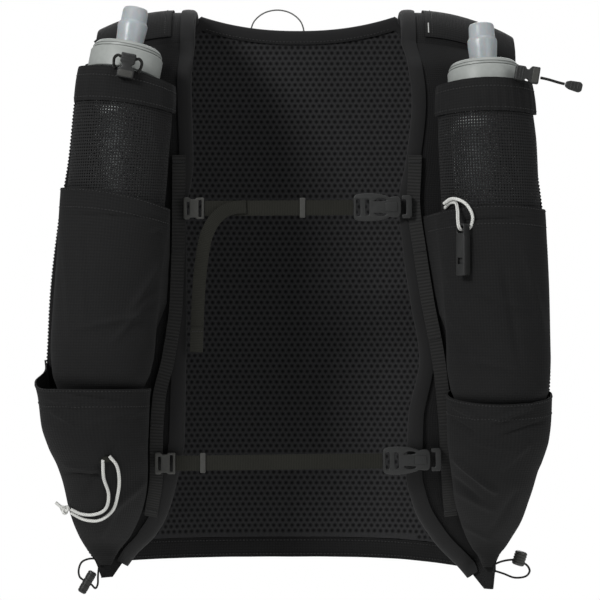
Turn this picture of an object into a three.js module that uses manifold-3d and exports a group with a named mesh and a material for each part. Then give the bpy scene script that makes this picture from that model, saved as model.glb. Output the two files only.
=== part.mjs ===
// A running hydration vest: a mesh back panel with a rear bag, two shoulder straps, and two front panels
// that carry stretch pockets, soft flasks, two webbing chest straps, cords, cord locks and a whistle.
// Millimetres. +Z is up, the front faces -Y, and left is -X, as seen from the front.
// The origin is between the two shoulder straps, where a wearer's shoulders carry the vest.

import * as THREE from "three";
import { mergeVertices } from "three/addons/utils/BufferGeometryUtils.js";
import Module from "manifold-3d";

const wasm = await Module();
wasm.setup();

// Driving sizes
const VEST_DROP = 420;         // shoulder to the front panels' bottom corners
const NECK_HALF = 80;          // midline to the front panels' inner edges
const CHEST_DEPTH = 66;        // shoulder line forward to the chest
const BACK_DEPTH = 72;         // shoulder line back to the back panel's face
const BACK_WRAP = 62;          // how far the back panel's sides come forward at the hem
const BACK_HALF = 146;         // half the back panel's width at its shoulders and hem
const HEM_DROP = 407;          // shoulder to the back panel's hem
const NECK_DROP = 7;           // the neckline's lowest point, below the shoulder
const NECK_RISE = 11;          // from there up to the neckline's ends
const FLANK_WRAP = 16;         // how far a front panel's outer side turns back
const SHOULDER_WIDTH = 70;
const SHOULDER_FALL = 15;      // from a strap's inner edge down to its outer edge
const SHOULDER_CROWN = 6;      // the straps' highest line above the origin
const SHOULDER_END = 24;       // where the straps give way to the front panels

const GAP = 0.4;               // between pieces that touch
const EASE = 0.8;              // between curved layers of cloth
const BACK_WALL = 3.5;         // spacer mesh
const STRAP_WALL = 4;
const PANEL_WALL = 2.5;
const POCKET_WALL = 1.2;
const BAG_WALL = 1.5;
const BINDING_WALL = 1.1;
const BINDING_WIDTH = 7;
const HEM_BAND = 15;           // the plain band above the back panel's hem
const BAG_DEPTH = 38;
const BAG_RIM_DROP = 26;

const FLASK_WIDTH = 66;
const FLASK_DEPTH = 58;
const FLASK_LENGTH = 236;      // cap top to the bottom of the bag
const FLASK_WALL = 1.5;
const SLEEVE_EASE = 1.4;       // between a flask and its sleeve
const CAP_RADIUS = 26.5;
const CAP_HEIGHT = 22;
const CAP_WALL = 3;
const CAP_NOD = 0.12;          // radians that the caps lean back from their flasks
const SPOUT_RADIUS = 6;
const VALVE_RADIUS = 10.8;
const VALVE_HEIGHT = 28.5;
const VALVE_WALL = 2.2;
const HEM_WIDTH = 24;          // a flask sleeve's drawcord hem
const MOUTH_FROWN = 4;         // how far a mouth's sides lie below its front

const WEBBING_WIDTH = 11;
const WEBBING_WALL = 1.2;
const RAIL_WIDTH = 9.5;
const UPPER_STRAP_DROP = 142.7;
const LOWER_STRAP_DROP = 329;
const BUCKLE_LENGTH = 35;
const BUCKLE_HEIGHT = 20.4;
const HOOK_HEIGHT = 16;
const HARDWARE_WALL = 3.6;     // buckles, hooks and keepers, front to back

const CORD_THICK = 2.4;        // the white drawcord and the whistle's cord
const FINE_CORD = 1.6;         // the dark elastic cords
const LOOP_CORD = 1.2;         // the hanging loop
const POCKET_DEPTH = 64;       // a lower pocket's fullest bulge
const POCKET_REACH = 184;      // midline to a lower pocket's outer side
const WHISTLE_LENGTH = 37;
const WHISTLE_WIDTH = 7.5;

// Side view of the front panels: y as a share of CHEST_DEPTH, at shares of VEST_DROP
const CHEST = [
  { at: 0.048, y: -0.45 },
  { at: 0.095, y: -0.73 },
  { at: 0.238, y: -0.82 },
  { at: 0.357, y: -0.88 },
  { at: 0.5, y: -0.955 },
  { at: 0.624, y: -1.0 },
  { at: 0.714, y: -0.94 },
  { at: 0.81, y: -0.7 },
  { at: 0.881, y: -0.36 },
  { at: 0.952, y: 0.12 },
  { at: 1.024, y: 0.9 },
];

// The back panel's half width as a share of BACK_HALF, and how much of BACK_WRAP its sides take
const BACK = [
  { at: 0.0, half: 1.01, wrap: 0.36 },
  { at: 0.1, half: 0.95, wrap: 0.44 },
  { at: 0.22, half: 0.86, wrap: 0.54 },
  { at: 0.43, half: 0.81, wrap: 0.7 },
  { at: 0.67, half: 0.85, wrap: 0.86 },
  { at: 0.86, half: 0.94, wrap: 0.96 },
  { at: 0.97, half: 1.0, wrap: 1.0 },
];

// Each front panel: inner edge and rail as shares of NECK_HALF, outer edge as a share of POCKET_REACH
const LEFT_PANEL = [
  { at: 0.045, edge: 0.99, rail: 1.09, outer: 0.82 },
  { at: 0.12, edge: 1.02, rail: 1.09, outer: 0.885 },
  { at: 0.26, edge: 1.0, rail: 1.09, outer: 0.92 },
  { at: 0.355, edge: 1.065, rail: 1.09, outer: 0.955 },
  { at: 0.5, edge: 1.056, rail: 1.11, outer: 0.99 },
  { at: 0.6, edge: 1.062, rail: 1.18, outer: 1.0 },
  { at: 0.67, edge: 1.075, rail: 1.265, outer: 1.015 },
  { at: 0.745, edge: 1.092, rail: 1.293, outer: 0.985 },
  { at: 0.807, edge: 1.16, rail: 1.3, outer: 0.94 },
  { at: 0.872, edge: 1.26, rail: 1.355, outer: 0.918 },
  { at: 0.912, edge: 1.38, rail: 1.4, outer: 0.886 },
  { at: 0.945, edge: 1.55, rail: 1.5, outer: 0.857 },
  { at: 0.965, edge: 1.63, rail: 1.6, outer: 0.826 },
  { at: 0.995, edge: 1.74, rail: 1.7, outer: 0.8 },
];
const RIGHT_PANEL = [
  { at: 0.045, edge: 0.985, rail: 1.07, outer: 0.82 },
  { at: 0.084, edge: 1.046, rail: 1.07, outer: 0.89 },
  { at: 0.152, edge: 1.084, rail: 1.07, outer: 0.93 },
  { at: 0.257, edge: 1.029, rail: 1.07, outer: 0.952 },
  { at: 0.326, edge: 0.965, rail: 1.055, outer: 0.972 },
  { at: 0.413, edge: 1.0, rail: 1.11, outer: 0.995 },
  { at: 0.5, edge: 1.065, rail: 1.18, outer: 1.0 },
  { at: 0.604, edge: 1.148, rail: 1.28, outer: 1.005 },
  { at: 0.708, edge: 1.056, rail: 1.34, outer: 0.995 },
  { at: 0.798, edge: 1.049, rail: 1.37, outer: 0.951 },
  { at: 0.86, edge: 1.122, rail: 1.4, outer: 0.914 },
  { at: 0.921, edge: 1.308, rail: 1.45, outer: 0.866 },
  { at: 0.976, edge: 1.571, rail: 1.6, outer: 0.795 },
  { at: 1.016, edge: 1.745, rail: 1.75, outer: 0.785 },
];

// Lower pockets: inner and outer side as shares of POCKET_REACH, bulge as a share of POCKET_DEPTH
const LEFT_LOW = [
  { at: 0.595, inner: 0.565, outer: 1.04, bulge: 1.0 },
  { at: 0.63, inner: 0.571, outer: 1.041, bulge: 1.0 },
  { at: 0.674, inner: 0.582, outer: 1.022, bulge: 0.97 },
  { at: 0.714, inner: 0.587, outer: 1.014, bulge: 0.93 },
  { at: 0.755, inner: 0.592, outer: 0.986, bulge: 0.86 },
  { at: 0.786, inner: 0.593, outer: 0.954, bulge: 0.79 },
  { at: 0.812, inner: 0.598, outer: 0.9375, bulge: 0.72 },
  { at: 0.864, inner: 0.62, outer: 0.9174, bulge: 0.56 },
  { at: 0.917, inner: 0.674, outer: 0.886, bulge: 0.36 },
  { at: 0.945, inner: 0.723, outer: 0.856, bulge: 0.22 },
  { at: 0.962, inner: 0.748, outer: 0.822, bulge: 0.11 },
  { at: 0.976, inner: 0.765, outer: 0.798, bulge: 0.045 },
];
const RIGHT_LOW = [
  { at: 0.595, inner: 0.58, outer: 1.018, bulge: 1.0 },
  { at: 0.624, inner: 0.58, outer: 1.014, bulge: 1.0 },
  { at: 0.669, inner: 0.582, outer: 0.998, bulge: 0.97 },
  { at: 0.712, inner: 0.586, outer: 0.995, bulge: 0.93 },
  { at: 0.743, inner: 0.59, outer: 0.989, bulge: 0.88 },
  { at: 0.781, inner: 0.598, outer: 0.965, bulge: 0.81 },
  { at: 0.798, inner: 0.603, outer: 0.949, bulge: 0.77 },
  { at: 0.843, inner: 0.62, outer: 0.926, bulge: 0.64 },
  { at: 0.89, inner: 0.652, outer: 0.897, bulge: 0.48 },
  { at: 0.921, inner: 0.68, outer: 0.866, bulge: 0.36 },
  { at: 0.94, inner: 0.705, outer: 0.842, bulge: 0.27 },
  { at: 0.955, inner: 0.73, outer: 0.815, bulge: 0.19 },
  { at: 0.983, inner: 0.758, outer: 0.787, bulge: 0.05 },
];

// How a pocket over a flask fills, at shares of FLASK_LENGTH: its half width and half depth as shares of the
// flask's, and how far it stands off the front panel, down to where it closes
const SLEEVE_FILL = [
  { at: 0.0, wide: 0.9, deep: 0.93, open: 1.0 },
  { at: 0.12, wide: 0.96, deep: 0.98, open: 1.0 },
  { at: 0.25, wide: 1.0, deep: 1.0, open: 1.0 },
  { at: 0.85, wide: 1.0, deep: 1.0, open: 1.0 },
  { at: 0.95, wide: 0.94, deep: 0.9, open: 1.0 },
  { at: 1.0, wide: 0.82, deep: 0.74, open: 0.92 },
  { at: 1.03, wide: 0.74, deep: 0.6, open: 0.68 },
  { at: 1.055, wide: 0.68, deep: 0.5, open: 0.34 },
  { at: 1.075, wide: 0.62, deep: 0.45, open: 0.08 },
];

// A flask's bag: half width and half depth as shares, at shares of FLASK_LENGTH below its cap's top
const FLASK_BAG = [
  { at: 0.13, wide: 0.85, deep: 0.9 },
  { at: 0.25, wide: 1.0, deep: 1.0 },
  { at: 0.85, wide: 1.0, deep: 1.0 },
  { at: 0.95, wide: 0.84, deep: 0.76 },
  { at: 1.0, wide: 0.42, deep: 0.3 },
];

// The two sides. The flask's place: x as a share of NECK_HALF, top as a share of VEST_DROP, and lean as x
// over length.
const LEFT = {
  name: "left", sign: -1, panel: LEFT_PANEL, low: LEFT_LOW, end: 0.995, lowEnd: 0.972, yokeEnd: 1.0,
  flaskX: 1.535, flaskTop: 0.0612, lean: 0.08, rimDrop: 44, middleDrop: 133, lowRimDrop: 274,
  mouthLean: 0.2, nodIn: 0.1,
};
const RIGHT = {
  name: "right", sign: 1, panel: RIGHT_PANEL, low: RIGHT_LOW, end: 1.016, lowEnd: 0.976, yokeEnd: 1.16,
  flaskX: 1.681, flaskTop: 0.0898, lean: 0.047, rimDrop: 50, middleDrop: 142, lowRimDrop: 282,
  mouthLean: 0.03, nodIn: 0,
};

// The value of one column of a table at a share, on a smooth curve through its rows that doesn't overshoot.
function along(table, column, share) {
  const last = table.length - 1;
  if (share <= table[0].at) return table[0][column];
  if (share >= table[last].at) return table[last][column];
  const rise = (k) => (table[k + 1][column] - table[k][column]) / (table[k + 1].at - table[k].at);
  const slope = (k) => {
    if (k === 0) return rise(0);
    if (k === last) return rise(last - 1);
    const [before, after] = [rise(k - 1), rise(k)];
    return before * after <= 0 ? 0 : (2 * before * after) / (before + after);
  };
  const i = table.findIndex((row) => row.at > share) - 1;
  const span = table[i + 1].at - table[i].at;
  const t = (share - table[i].at) / span;
  const [p, q] = [table[i][column], table[i + 1][column]];
  return (2 * t ** 3 - 3 * t ** 2 + 1) * p + (t ** 3 - 2 * t ** 2 + t) * span * slope(i)
    + (3 * t ** 2 - 2 * t ** 3) * q + (t ** 3 - t ** 2) * span * slope(i + 1);
}

const mix = (a, b, t) => a + (b - a) * t;
const clamp = (value, low, high) => Math.min(high, Math.max(low, value));
const steps = (count) => Array.from({ length: count + 1 }, (_, i) => i / count);

// The smaller of two values, rounded off where they meet.
function softMin(a, b, round) {
  const h = clamp(0.5 + (b - a) / (2 * round), 0, 1);
  return mix(b, a, h) - round * h * (1 - h);
}

// Geometry from points and triangles, turned to face out.
function meshed(points, triangles) {
  let volume = 0;
  for (const [a, b, c] of triangles) {
    const [p, q, r] = [points[a], points[b], points[c]];
    volume += p[0] * (q[1] * r[2] - q[2] * r[1]) - p[1] * (q[0] * r[2] - q[2] * r[0])
      + p[2] * (q[0] * r[1] - q[1] * r[0]);
  }
  const facing = volume > 0 ? triangles : triangles.map(([a, b, c]) => [a, c, b]);
  const geometry = new THREE.BufferGeometry();
  geometry.setAttribute("position", new THREE.Float32BufferAttribute(points.flat(), 3));
  geometry.setIndex(facing.flat());
  return geometry;
}

// A closed wall between two grids of points of the same size.
function wall(outer, inner) {
  const [rows, columns] = [outer.length, outer[0].length];
  const points = [...outer.flat(), ...inner.flat()];
  const at = (side, i, j) => side * rows * columns + i * columns + j;
  const triangles = [];
  const quad = (a, b, c, d) => triangles.push([a, b, c], [a, c, d]);
  for (let i = 0; i < rows - 1; i++) {
    for (let j = 0; j < columns - 1; j++) {
      quad(at(0, i, j), at(0, i, j + 1), at(0, i + 1, j + 1), at(0, i + 1, j));
      quad(at(1, i, j), at(1, i + 1, j), at(1, i + 1, j + 1), at(1, i, j + 1));
    }
    quad(at(0, i, 0), at(0, i + 1, 0), at(1, i + 1, 0), at(1, i, 0));
    quad(at(0, i + 1, columns - 1), at(0, i, columns - 1), at(1, i, columns - 1), at(1, i + 1, columns - 1));
  }
  for (let j = 0; j < columns - 1; j++) {
    quad(at(0, 0, j + 1), at(0, 0, j), at(1, 0, j), at(1, 0, j + 1));
    quad(at(0, rows - 1, j), at(0, rows - 1, j + 1), at(1, rows - 1, j + 1), at(1, rows - 1, j));
  }
  return meshed(points, triangles);
}

// A closed body through rings of points, with its two ends filled by the section's own triangles.
function loft(rings, section) {
  const count = rings[0].length;
  const fill = section
    ? THREE.ShapeUtils.triangulateShape(section.map(([x, y]) => new THREE.Vector2(x, y)), [])
    : steps(count - 3).map((_, i) => [0, i + 1, i + 2]);
  const triangles = [];
  for (let i = 0; i < rings.length - 1; i++) {
    for (let j = 0; j < count; j++) {
      const [a, b] = [i * count + j, i * count + ((j + 1) % count)];
      triangles.push([a, b, b + count], [a, b + count, a + count]);
    }
  }
  const last = (rings.length - 1) * count;
  const turned = section && THREE.ShapeUtils.area(section.map(([x, y]) => new THREE.Vector2(x, y))) < 0;
  for (const [a, b, c] of fill) {
    if (turned) triangles.push([a, b, c], [last + a, last + c, last + b]);
    else triangles.push([a, c, b], [last + a, last + b, last + c]);
  }
  return meshed(rings.flat(), triangles);
}

// A ribbon: a flat section along a path of { point, across, normal } with unit directions.
function ribbon(path, width, thickness) {
  const corners = [[-1, -1], [1, -1], [1, 1], [-1, 1]];
  return loft(path.map(({ point, across, normal }) => corners.map(([w, n]) => point.map(
    (value, k) => value + (across[k] * w * width) / 2 + (normal[k] * n * thickness) / 2,
  ))));
}

// A round cord along a smooth curve through points.
function cord(points, thickness, pieces) {
  const curve = new THREE.CatmullRomCurve3(points.map((p) => new THREE.Vector3(...p)), false, "centripetal");
  const sides = 8;
  const circle = new THREE.Shape(steps(sides - 1).map((_, i) => {
    const turn = (2 * Math.PI * i) / sides;
    return new THREE.Vector2((Math.cos(turn) * thickness) / 2, (Math.sin(turn) * thickness) / 2);
  }));
  return new THREE.ExtrudeGeometry(circle, { steps: pieces, extrudePath: curve, bevelEnabled: false });
}

// A turned body from a closed profile of [radius, height], its axis along Z.
function turned(profile, sides) {
  const points = profile.map(([radius, height]) => new THREE.Vector2(radius, height));
  return new THREE.LatheGeometry(points, sides).rotateX(Math.PI / 2);
}

// A flat plate from an outline of [x, z] and holes, its thickness along Y and centred on it.
function plate(outline, holes, thickness) {
  const shape = new THREE.Shape(outline.map(([x, z]) => new THREE.Vector2(x, z)));
  shape.holes = holes.map((hole) => new THREE.Path(hole.map(([x, z]) => new THREE.Vector2(x, z))));
  return new THREE.ExtrudeGeometry(shape, { depth: thickness, bevelEnabled: false, curveSegments: 4 })
    .rotateX(Math.PI / 2)
    .translate(0, thickness / 2, 0);
}

function solidOf(geometry) {
  const bare = geometry.index ? geometry.toNonIndexed() : geometry.clone();
  bare.deleteAttribute("normal");
  bare.deleteAttribute("uv");
  const merged = mergeVertices(bare, 1e-4);
  return new wasm.Manifold(new wasm.Mesh({
    numProp: 3,
    vertProperties: merged.attributes.position.array,
    triVerts: new Uint32Array(merged.index.array),
  }));
}

function geometryOf(solid) {
  const mesh = solid.getMesh();
  const geometry = new THREE.BufferGeometry();
  geometry.setAttribute("position", new THREE.Float32BufferAttribute(mesh.vertProperties, 3));
  geometry.setIndex(new THREE.BufferAttribute(mesh.triVerts, 1));
  return geometry;
}

// Materials
const MATERIALS = {
  spacer: { color: 0x141415, roughness: 0.9 },
  panel: { color: 0x171718, roughness: 0.88 },
  pocket: { color: 0x161617, roughness: 0.82 },
  sleeve: { color: 0x1d1d1e, roughness: 0.85 },
  binding: { color: 0x1a1a1b, roughness: 0.85 },
  webbing: { color: 0x22221c, roughness: 0.8 },
  plastic: { color: 0x262726, roughness: 0.45 },
  white_cord: { color: 0xd9d9d4, roughness: 0.8 },
  grey_cord: { color: 0x5a5a58, roughness: 0.8 },
  flask: { color: 0xc6cbc9, roughness: 0.35 },
  cap: { color: 0x9a9d96, roughness: 0.5 },
  valve: { color: 0xd8dde0, roughness: 0.3 },
};
const shades = Object.fromEntries(Object.entries(MATERIALS).map(
  ([slot, look]) => [slot, new THREE.MeshStandardMaterial({ metalness: 0, ...look })],
));

const vest = new THREE.Group();
function add(name, geometry, slot, parent = vest) {
  const mesh = new THREE.Mesh(geometry, shades[slot]);
  mesh.name = name;
  parent.add(mesh);
  return mesh;
}

// Surfaces that the pieces lie on
const share = (z) => -z / VEST_DROP;

function backFace(x, z) {
  return BACK_DEPTH - BACK_WRAP * along(BACK, "wrap", share(z)) * (Math.abs(x) / BACK_HALF) ** 3;
}

const edgeAt = (side, z) => NECK_HALF * along(side.panel, "edge", share(z));
const railAt = (side, z) => NECK_HALF * along(side.panel, "rail", share(z));
const outerAt = (side, z) => POCKET_REACH * along(side.panel, "outer", share(z));

// A front panel's front face. x is the distance from the midline. Near its bottom corner it follows the back
// panel, and it is straight between levels, so that what lies on it keeps its gap.
const LAP = PANEL_WALL + 2 * (BINDING_WALL + GAP) + EASE;
const LEVEL = 22;
function panelFace(side, x, z) {
  const exact = (level) => {
    const [edge, outer] = [edgeAt(side, level), outerAt(side, level)];
    const across = clamp((x - edge) / (outer - edge), 0, 1);
    const chest = CHEST_DEPTH * along(CHEST, "y", share(level)) + FLANK_WRAP * across ** 2;
    const besideBack = Math.min(x, BACK_HALF * along(BACK, "half", share(level)));
    return softMin(chest, backFace(besideBack, level) - LAP, 8);
  };
  const k = Math.floor(z / LEVEL);
  return mix(exact(k * LEVEL), exact((k + 1) * LEVEL), z / LEVEL - k);
}

// How far what is sewn on a front panel stands off it: more near the corner, where the panel twists.
const easeAt = (z) => 1.25 * EASE + 1.5 * clamp((-z - 250) / 90, 0, 1);

const fall = (u) => SHOULDER_FALL * clamp(u, 0, 1.2) ** 2.2;

// Back panel, from its neckline and shoulders down to its hem
const NECK_END = NECK_HALF - 5;
const SHOULDER_SEAM = 2;       // the back panel's shoulder edge, below the origin
const BACK_COLUMNS = [0, 0.3, 0.509, 0.541, 0.65, 0.75, 0.85, 0.93, 1];
const backColumns = [...BACK_COLUMNS.slice(1).reverse().map((s) => -s), ...BACK_COLUMNS];
const HEM_SWEEP = 8;           // the hem's dip towards its right end

function backTop(across) {
  const x = Math.abs(across) * BACK_HALF * BACK[0].half;
  const neck = -NECK_DROP + NECK_RISE * Math.min(1, x / NECK_END) ** 2.2;
  const shoulder = -SHOULDER_SEAM - fall((x - NECK_HALF) / SHOULDER_WIDTH);
  return mix(neck, shoulder, clamp((x - NECK_END) / (NECK_HALF - 1 - NECK_END), 0, 1));
}

const hemAt = (across) => -HEM_DROP - HEM_SWEEP * Math.max(0, across) ** 3;

function backPoint(across, z, behind) {
  const x = across * BACK_HALF * along(BACK, "half", share(z));
  return [x, backFace(x, z) + behind, z];
}

const backGrid = (behind) => steps(10).map((down) => backColumns.map(
  (s) => backPoint(s, mix(backTop(s), hemAt(s) + HEM_BAND + GAP, down), behind),
));
add("back_panel", wall(backGrid(0), backGrid(BACK_WALL)), "spacer");

// The plain band below the spacer mesh
const bandGrid = (behind) => [HEM_BAND, 0].map(
  (lift) => backColumns.map((s) => backPoint(s, hemAt(s) + lift, behind)),
);
add("hem_band", wall(bandGrid(0), bandGrid(BACK_WALL)), "pocket");

// Bindings: a U section round an edge, of [into the cloth, out of its face].
function bindingSection(thickness, width, near) {
  const far = near + BINDING_WALL;
  return [
    [width, far], [-far, far], [-far, -thickness - far], [width, -thickness - far],
    [width, -thickness - near], [-near, -thickness - near], [-near, near], [width, near],
  ];
}

// The neckline's binding is upside down: "into the cloth" is down.
const neckSection = bindingSection(BACK_WALL, BINDING_WIDTH, EASE);
const neckColumns = [-0.495, -0.3, 0, 0.3, 0.495];
const neckRings = neckColumns.map((across) => neckSection.map(([into, out]) => {
  const [x, y, z] = backPoint(across, backTop(across), 0);
  return [x, y - out, z - into];
}));
add("neck_binding", loft(neckRings, neckSection), "binding");

// Rear bag: a stretch bag over the back panel's rear face, open at the top
const BAG_INSET = 12;          // from the back panel's sides
const BAG_FILL = [
  { at: 0.0, deep: 0.55 },
  { at: 0.25, deep: 0.85 },
  { at: 0.6, deep: 1.0 },
  { at: 0.85, deep: 0.9 },
  { at: 0.95, deep: 0.6 },
  { at: 1.0, deep: 0.08 },
];
const bagBottom = HEM_DROP - 10;
// t runs across, from the left seam (0) to the right seam (1); `in` sets the point inwards.
function bagPoint(t, down, setIn) {
  const z = -mix(BAG_RIM_DROP, bagBottom, down);
  const half = BACK_HALF * along(BACK, "half", share(z)) - BAG_INSET - setIn;
  const turn = Math.PI * (1 - t);
  const x = half * Math.sign(Math.cos(turn)) * Math.abs(Math.cos(turn)) ** 0.7;
  const foot = backFace(x, z) + BACK_WALL + EASE;
  const crest = BACK_DEPTH + BACK_WALL + EASE + BAG_DEPTH * along(BAG_FILL, "deep", down) - setIn;
  return [x, mix(foot, crest, Math.abs(Math.sin(turn)) ** 0.7), z];
}
const bagRows = [0, 0.036, 0.2, 0.4, 0.6, 0.75, 0.87, 0.95, 1];
const bagGrid = (setIn) => bagRows.map((down) => steps(14).map((t) => bagPoint(t, down, setIn)));
add("rear_bag", wall(bagGrid(0), bagGrid(BAG_WALL)), "pocket");
const bagHemGrid = (setIn) => bagRows.slice(0, 2).map(
  (down) => steps(14).slice(1, -1).map((t) => bagPoint(t, down, setIn)),
);
add("rear_bag_hem", wall(bagHemGrid(-EASE - BAG_WALL), bagHemGrid(-EASE)), "binding");

// The hanging loop stands up behind the neckline
const LOOP_LEFT = -37;
const LOOP_RIGHT = 5;
const LOOP_RISE = 20;
const loopY = BACK_DEPTH + BACK_WALL + EASE + BINDING_WALL + GAP + LOOP_CORD / 2;
const loopPoints = steps(6).map((t) => {
  const turn = Math.PI * (1 - t);
  const [middle, half] = [(LOOP_LEFT + LOOP_RIGHT) / 2, (LOOP_RIGHT - LOOP_LEFT) / 2];
  return [middle + half * Math.cos(turn), loopY, -NECK_DROP + LOOP_RISE * Math.sin(turn) ** 0.9];
});
loopPoints.unshift([LOOP_LEFT, loopY, -NECK_DROP - 8]);
loopPoints.push([LOOP_RIGHT, loopY, -NECK_DROP - 8]);
add("hang_loop", cord(loopPoints, LOOP_CORD, 14), "grey_cord");

// A pocket's section over a flask: one foot on the front panel, round the front, and the other foot. The
// angles start at the outer side. `tent` runs from 0, where the inner foot is tucked in behind the flask,
// to 1, where the cloth runs straight from the flask to a foot beside the rail.
const HUG = [-30, -5, 20, 44, 67, 90, 113, 136, 160, 185, 210].map((degrees) => (degrees * Math.PI) / 180);
const TENT_FROM = 8;           // the last of those angles that the tent leaves on the flask

function hugSection(side, z, { middle, centre, wide, deep, open, outFootX, inFootX, tent, lift = () => 0 }) {
  const base = (x, level) => panelFace(side, x, level) - easeAt(level);
  const place = ([x, y], i) => {
    const level = z + lift(i / (HUG.length + 1));
    const foot = i === 0 || i === HUG.length + 1;
    return [side.sign * x, foot ? base(x, level) : mix(base(x, level), y, open), level];
  };
  const round = HUG.map((turn) => {
    const [c, s] = [Math.cos(turn), Math.sin(turn)];
    return [middle + wide * (s < 0 ? mix(Math.sign(c) * 1.01, c, open) : c), centre - deep * s];
  });
  const outFoot = [outFootX, base(outFootX, z)];
  const inFoot = [inFootX, base(inFootX, z)];
  const last = HUG.length - TENT_FROM;
  const tented = round.map((point, i) => {
    if (i <= TENT_FROM) return point;
    const t = (i - TENT_FROM) / last;
    const straight = [0, 1].map((k) => mix(round[TENT_FROM][k], inFoot[k], t));
    return [0, 1].map((k) => mix(point[k], straight[k], tent));
  });
  return [outFoot, ...tented, inFoot].map(place);
}

for (const side of [LEFT, RIGHT]) {
  const { name, sign } = side;
  const endDrop = side.end * VEST_DROP;

  // Shoulder strap: over the shoulder, from the back panel's top edge to the front panel
  const strapStart = panelFace(side, NECK_HALF, -SHOULDER_END) + PANEL_WALL / 2;
  const backEnd = backFace(NECK_HALF, 0) + BACK_WALL / 2;
  const strapLine = [
    [backEnd, EASE - SHOULDER_SEAM],
    [backEnd, EASE + 1],
    [backEnd - 14, SHOULDER_CROWN],
    [mix(backEnd, strapStart, 0.48), SHOULDER_CROWN * 0.75],
    [mix(backEnd, strapStart, 0.74), 0],
    [mix(backEnd, strapStart, 0.95), -SHOULDER_END * 0.5],
    [strapStart, EASE - SHOULDER_END],
  ];
  const strapCurve = new THREE.CatmullRomCurve3(
    strapLine.map(([y, z]) => new THREE.Vector3(0, y, z)), false, "centripetal",
  );
  const strapPoint = (u, v, lift) => {
    const p = strapCurve.getPoint(v);
    const d = strapCurve.getTangent(v);
    const x = NECK_HALF + SHOULDER_WIDTH * u;
    const towardsBack = (backFace(x, 0) - backFace(NECK_HALF, 0)) * (1 - v) ** 4;
    const turned = panelFace(side, x, -SHOULDER_END) - panelFace(side, NECK_HALF, -SHOULDER_END);
    return [sign * x, p.y + towardsBack + turned * v ** 4 - d.z * lift, p.z - fall(u) + d.y * lift];
  };
  const strapHalf = STRAP_WALL / 2;
  const strapGrid = (lift) => steps(10).map((v) => steps(5).map((u) => strapPoint(u, v, lift)));
  add(`shoulder_strap_${name}`, wall(strapGrid(-strapHalf), strapGrid(strapHalf)), "panel");

  // Yoke: a plain flap over the outer part of the shoulder strap
  const yokeColumns = [0.2, 0.4, 0.6, 0.8, side.yokeEnd];
  const yokeGrid = (lift) => steps(10).slice(1, -1).map(
    (v) => yokeColumns.map((u) => strapPoint(u, v, lift)),
  );
  const yokeLift = -strapHalf - EASE;
  add(`shoulder_yoke_${name}`, wall(yokeGrid(yokeLift - POCKET_WALL), yokeGrid(yokeLift)), "pocket");

  // A small webbing tab under the left strap's outer edge
  if (name === "left") {
    const tabPath = [0.86, 0.96, 1.05].map((u, i) => {
      const [x, y, z] = strapPoint(u, 0.4, strapHalf + EASE + WEBBING_WALL / 2);
      return { point: [x, y, z - 2.5 * (i === 2)], across: [0, 1, 0], normal: [0, 0, 1] };
    });
    add("shoulder_tab_left", ribbon(tabPath, 9, WEBBING_WALL), "webbing");
  }

  // Front panel
  const panelTop = (u) => SHOULDER_END + EASE + fall(u);
  const levels = steps(20).map((_, k) => k * LEVEL).filter((drop) => drop > 40 && drop < endDrop - 20);
  levels.push(endDrop - 10);
  const panelPoint = (u, z, behind) => {
    const x = mix(edgeAt(side, z), outerAt(side, z), u);
    return [sign * x, panelFace(side, x, z) + behind, z];
  };
  const panelColumns = [0, 0.1, 0.32, 0.55, 0.78, 1];
  const panelGrid = (behind) => [panelTop, ...levels, endDrop].map((drop) => panelColumns.map(
    (u) => panelPoint(u, drop === panelTop ? -panelTop(u) : -drop, behind),
  ));
  add(`front_panel_${name}`, wall(panelGrid(0), panelGrid(PANEL_WALL)), "panel");

  // Binding along the inner edge, and its front leg narrows beside the lower pocket
  const besideRail = (z) => railAt(side, z) + RAIL_WIDTH / 2 + 1.2;
  const lowInner = (z) => POCKET_REACH * along(side.low, "inner", share(z));
  const lowOuter = (z) => POCKET_REACH * along(side.low, "outer", share(z));
  const edgeLevels = [SHOULDER_END + EASE, ...levels];
  const edgeRings = edgeLevels.map((drop) => {
    const z = -drop;
    const rise = drop === edgeLevels[0] ? 0 : (edgeAt(side, z - 1) - edgeAt(side, z + 1)) / 2;
    const length = Math.hypot(rise, 1);
    const beside = (lowInner(z) - edgeAt(side, z)) / length - 2 * EASE;
    const room = drop > side.lowRimDrop ? beside : BINDING_WIDTH;
    return bindingSection(PANEL_WALL, clamp(room, 2, BINDING_WIDTH), easeAt(z)).map(([into, out]) => {
      const [x, level] = [edgeAt(side, z) + into / length, z + (into * rise) / length];
      return [sign * x, panelFace(side, Math.max(x, edgeAt(side, z)), level) - out, level];
    });
  });
  add(`edge_binding_${name}`, loft(edgeRings, bindingSection(PANEL_WALL, BINDING_WIDTH, EASE)), "binding");

  // Rail tape: the webbing that the chest straps hook on to
  const railOut = (z) => easeAt(z) + BINDING_WALL + 2 * GAP + WEBBING_WALL / 2;
  const railPath = [104, ...levels.filter((drop) => drop > 105 && drop < 360), 370].map((drop) => {
    const x = railAt(side, -drop);
    const point = [sign * x, panelFace(side, x, -drop) - railOut(-drop), -drop];
    return { point, across: [1, 0, 0], normal: [0, 1, 0] };
  });
  add(`rail_tape_${name}`, ribbon(railPath, RAIL_WIDTH, WEBBING_WALL), "webbing");

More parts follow.
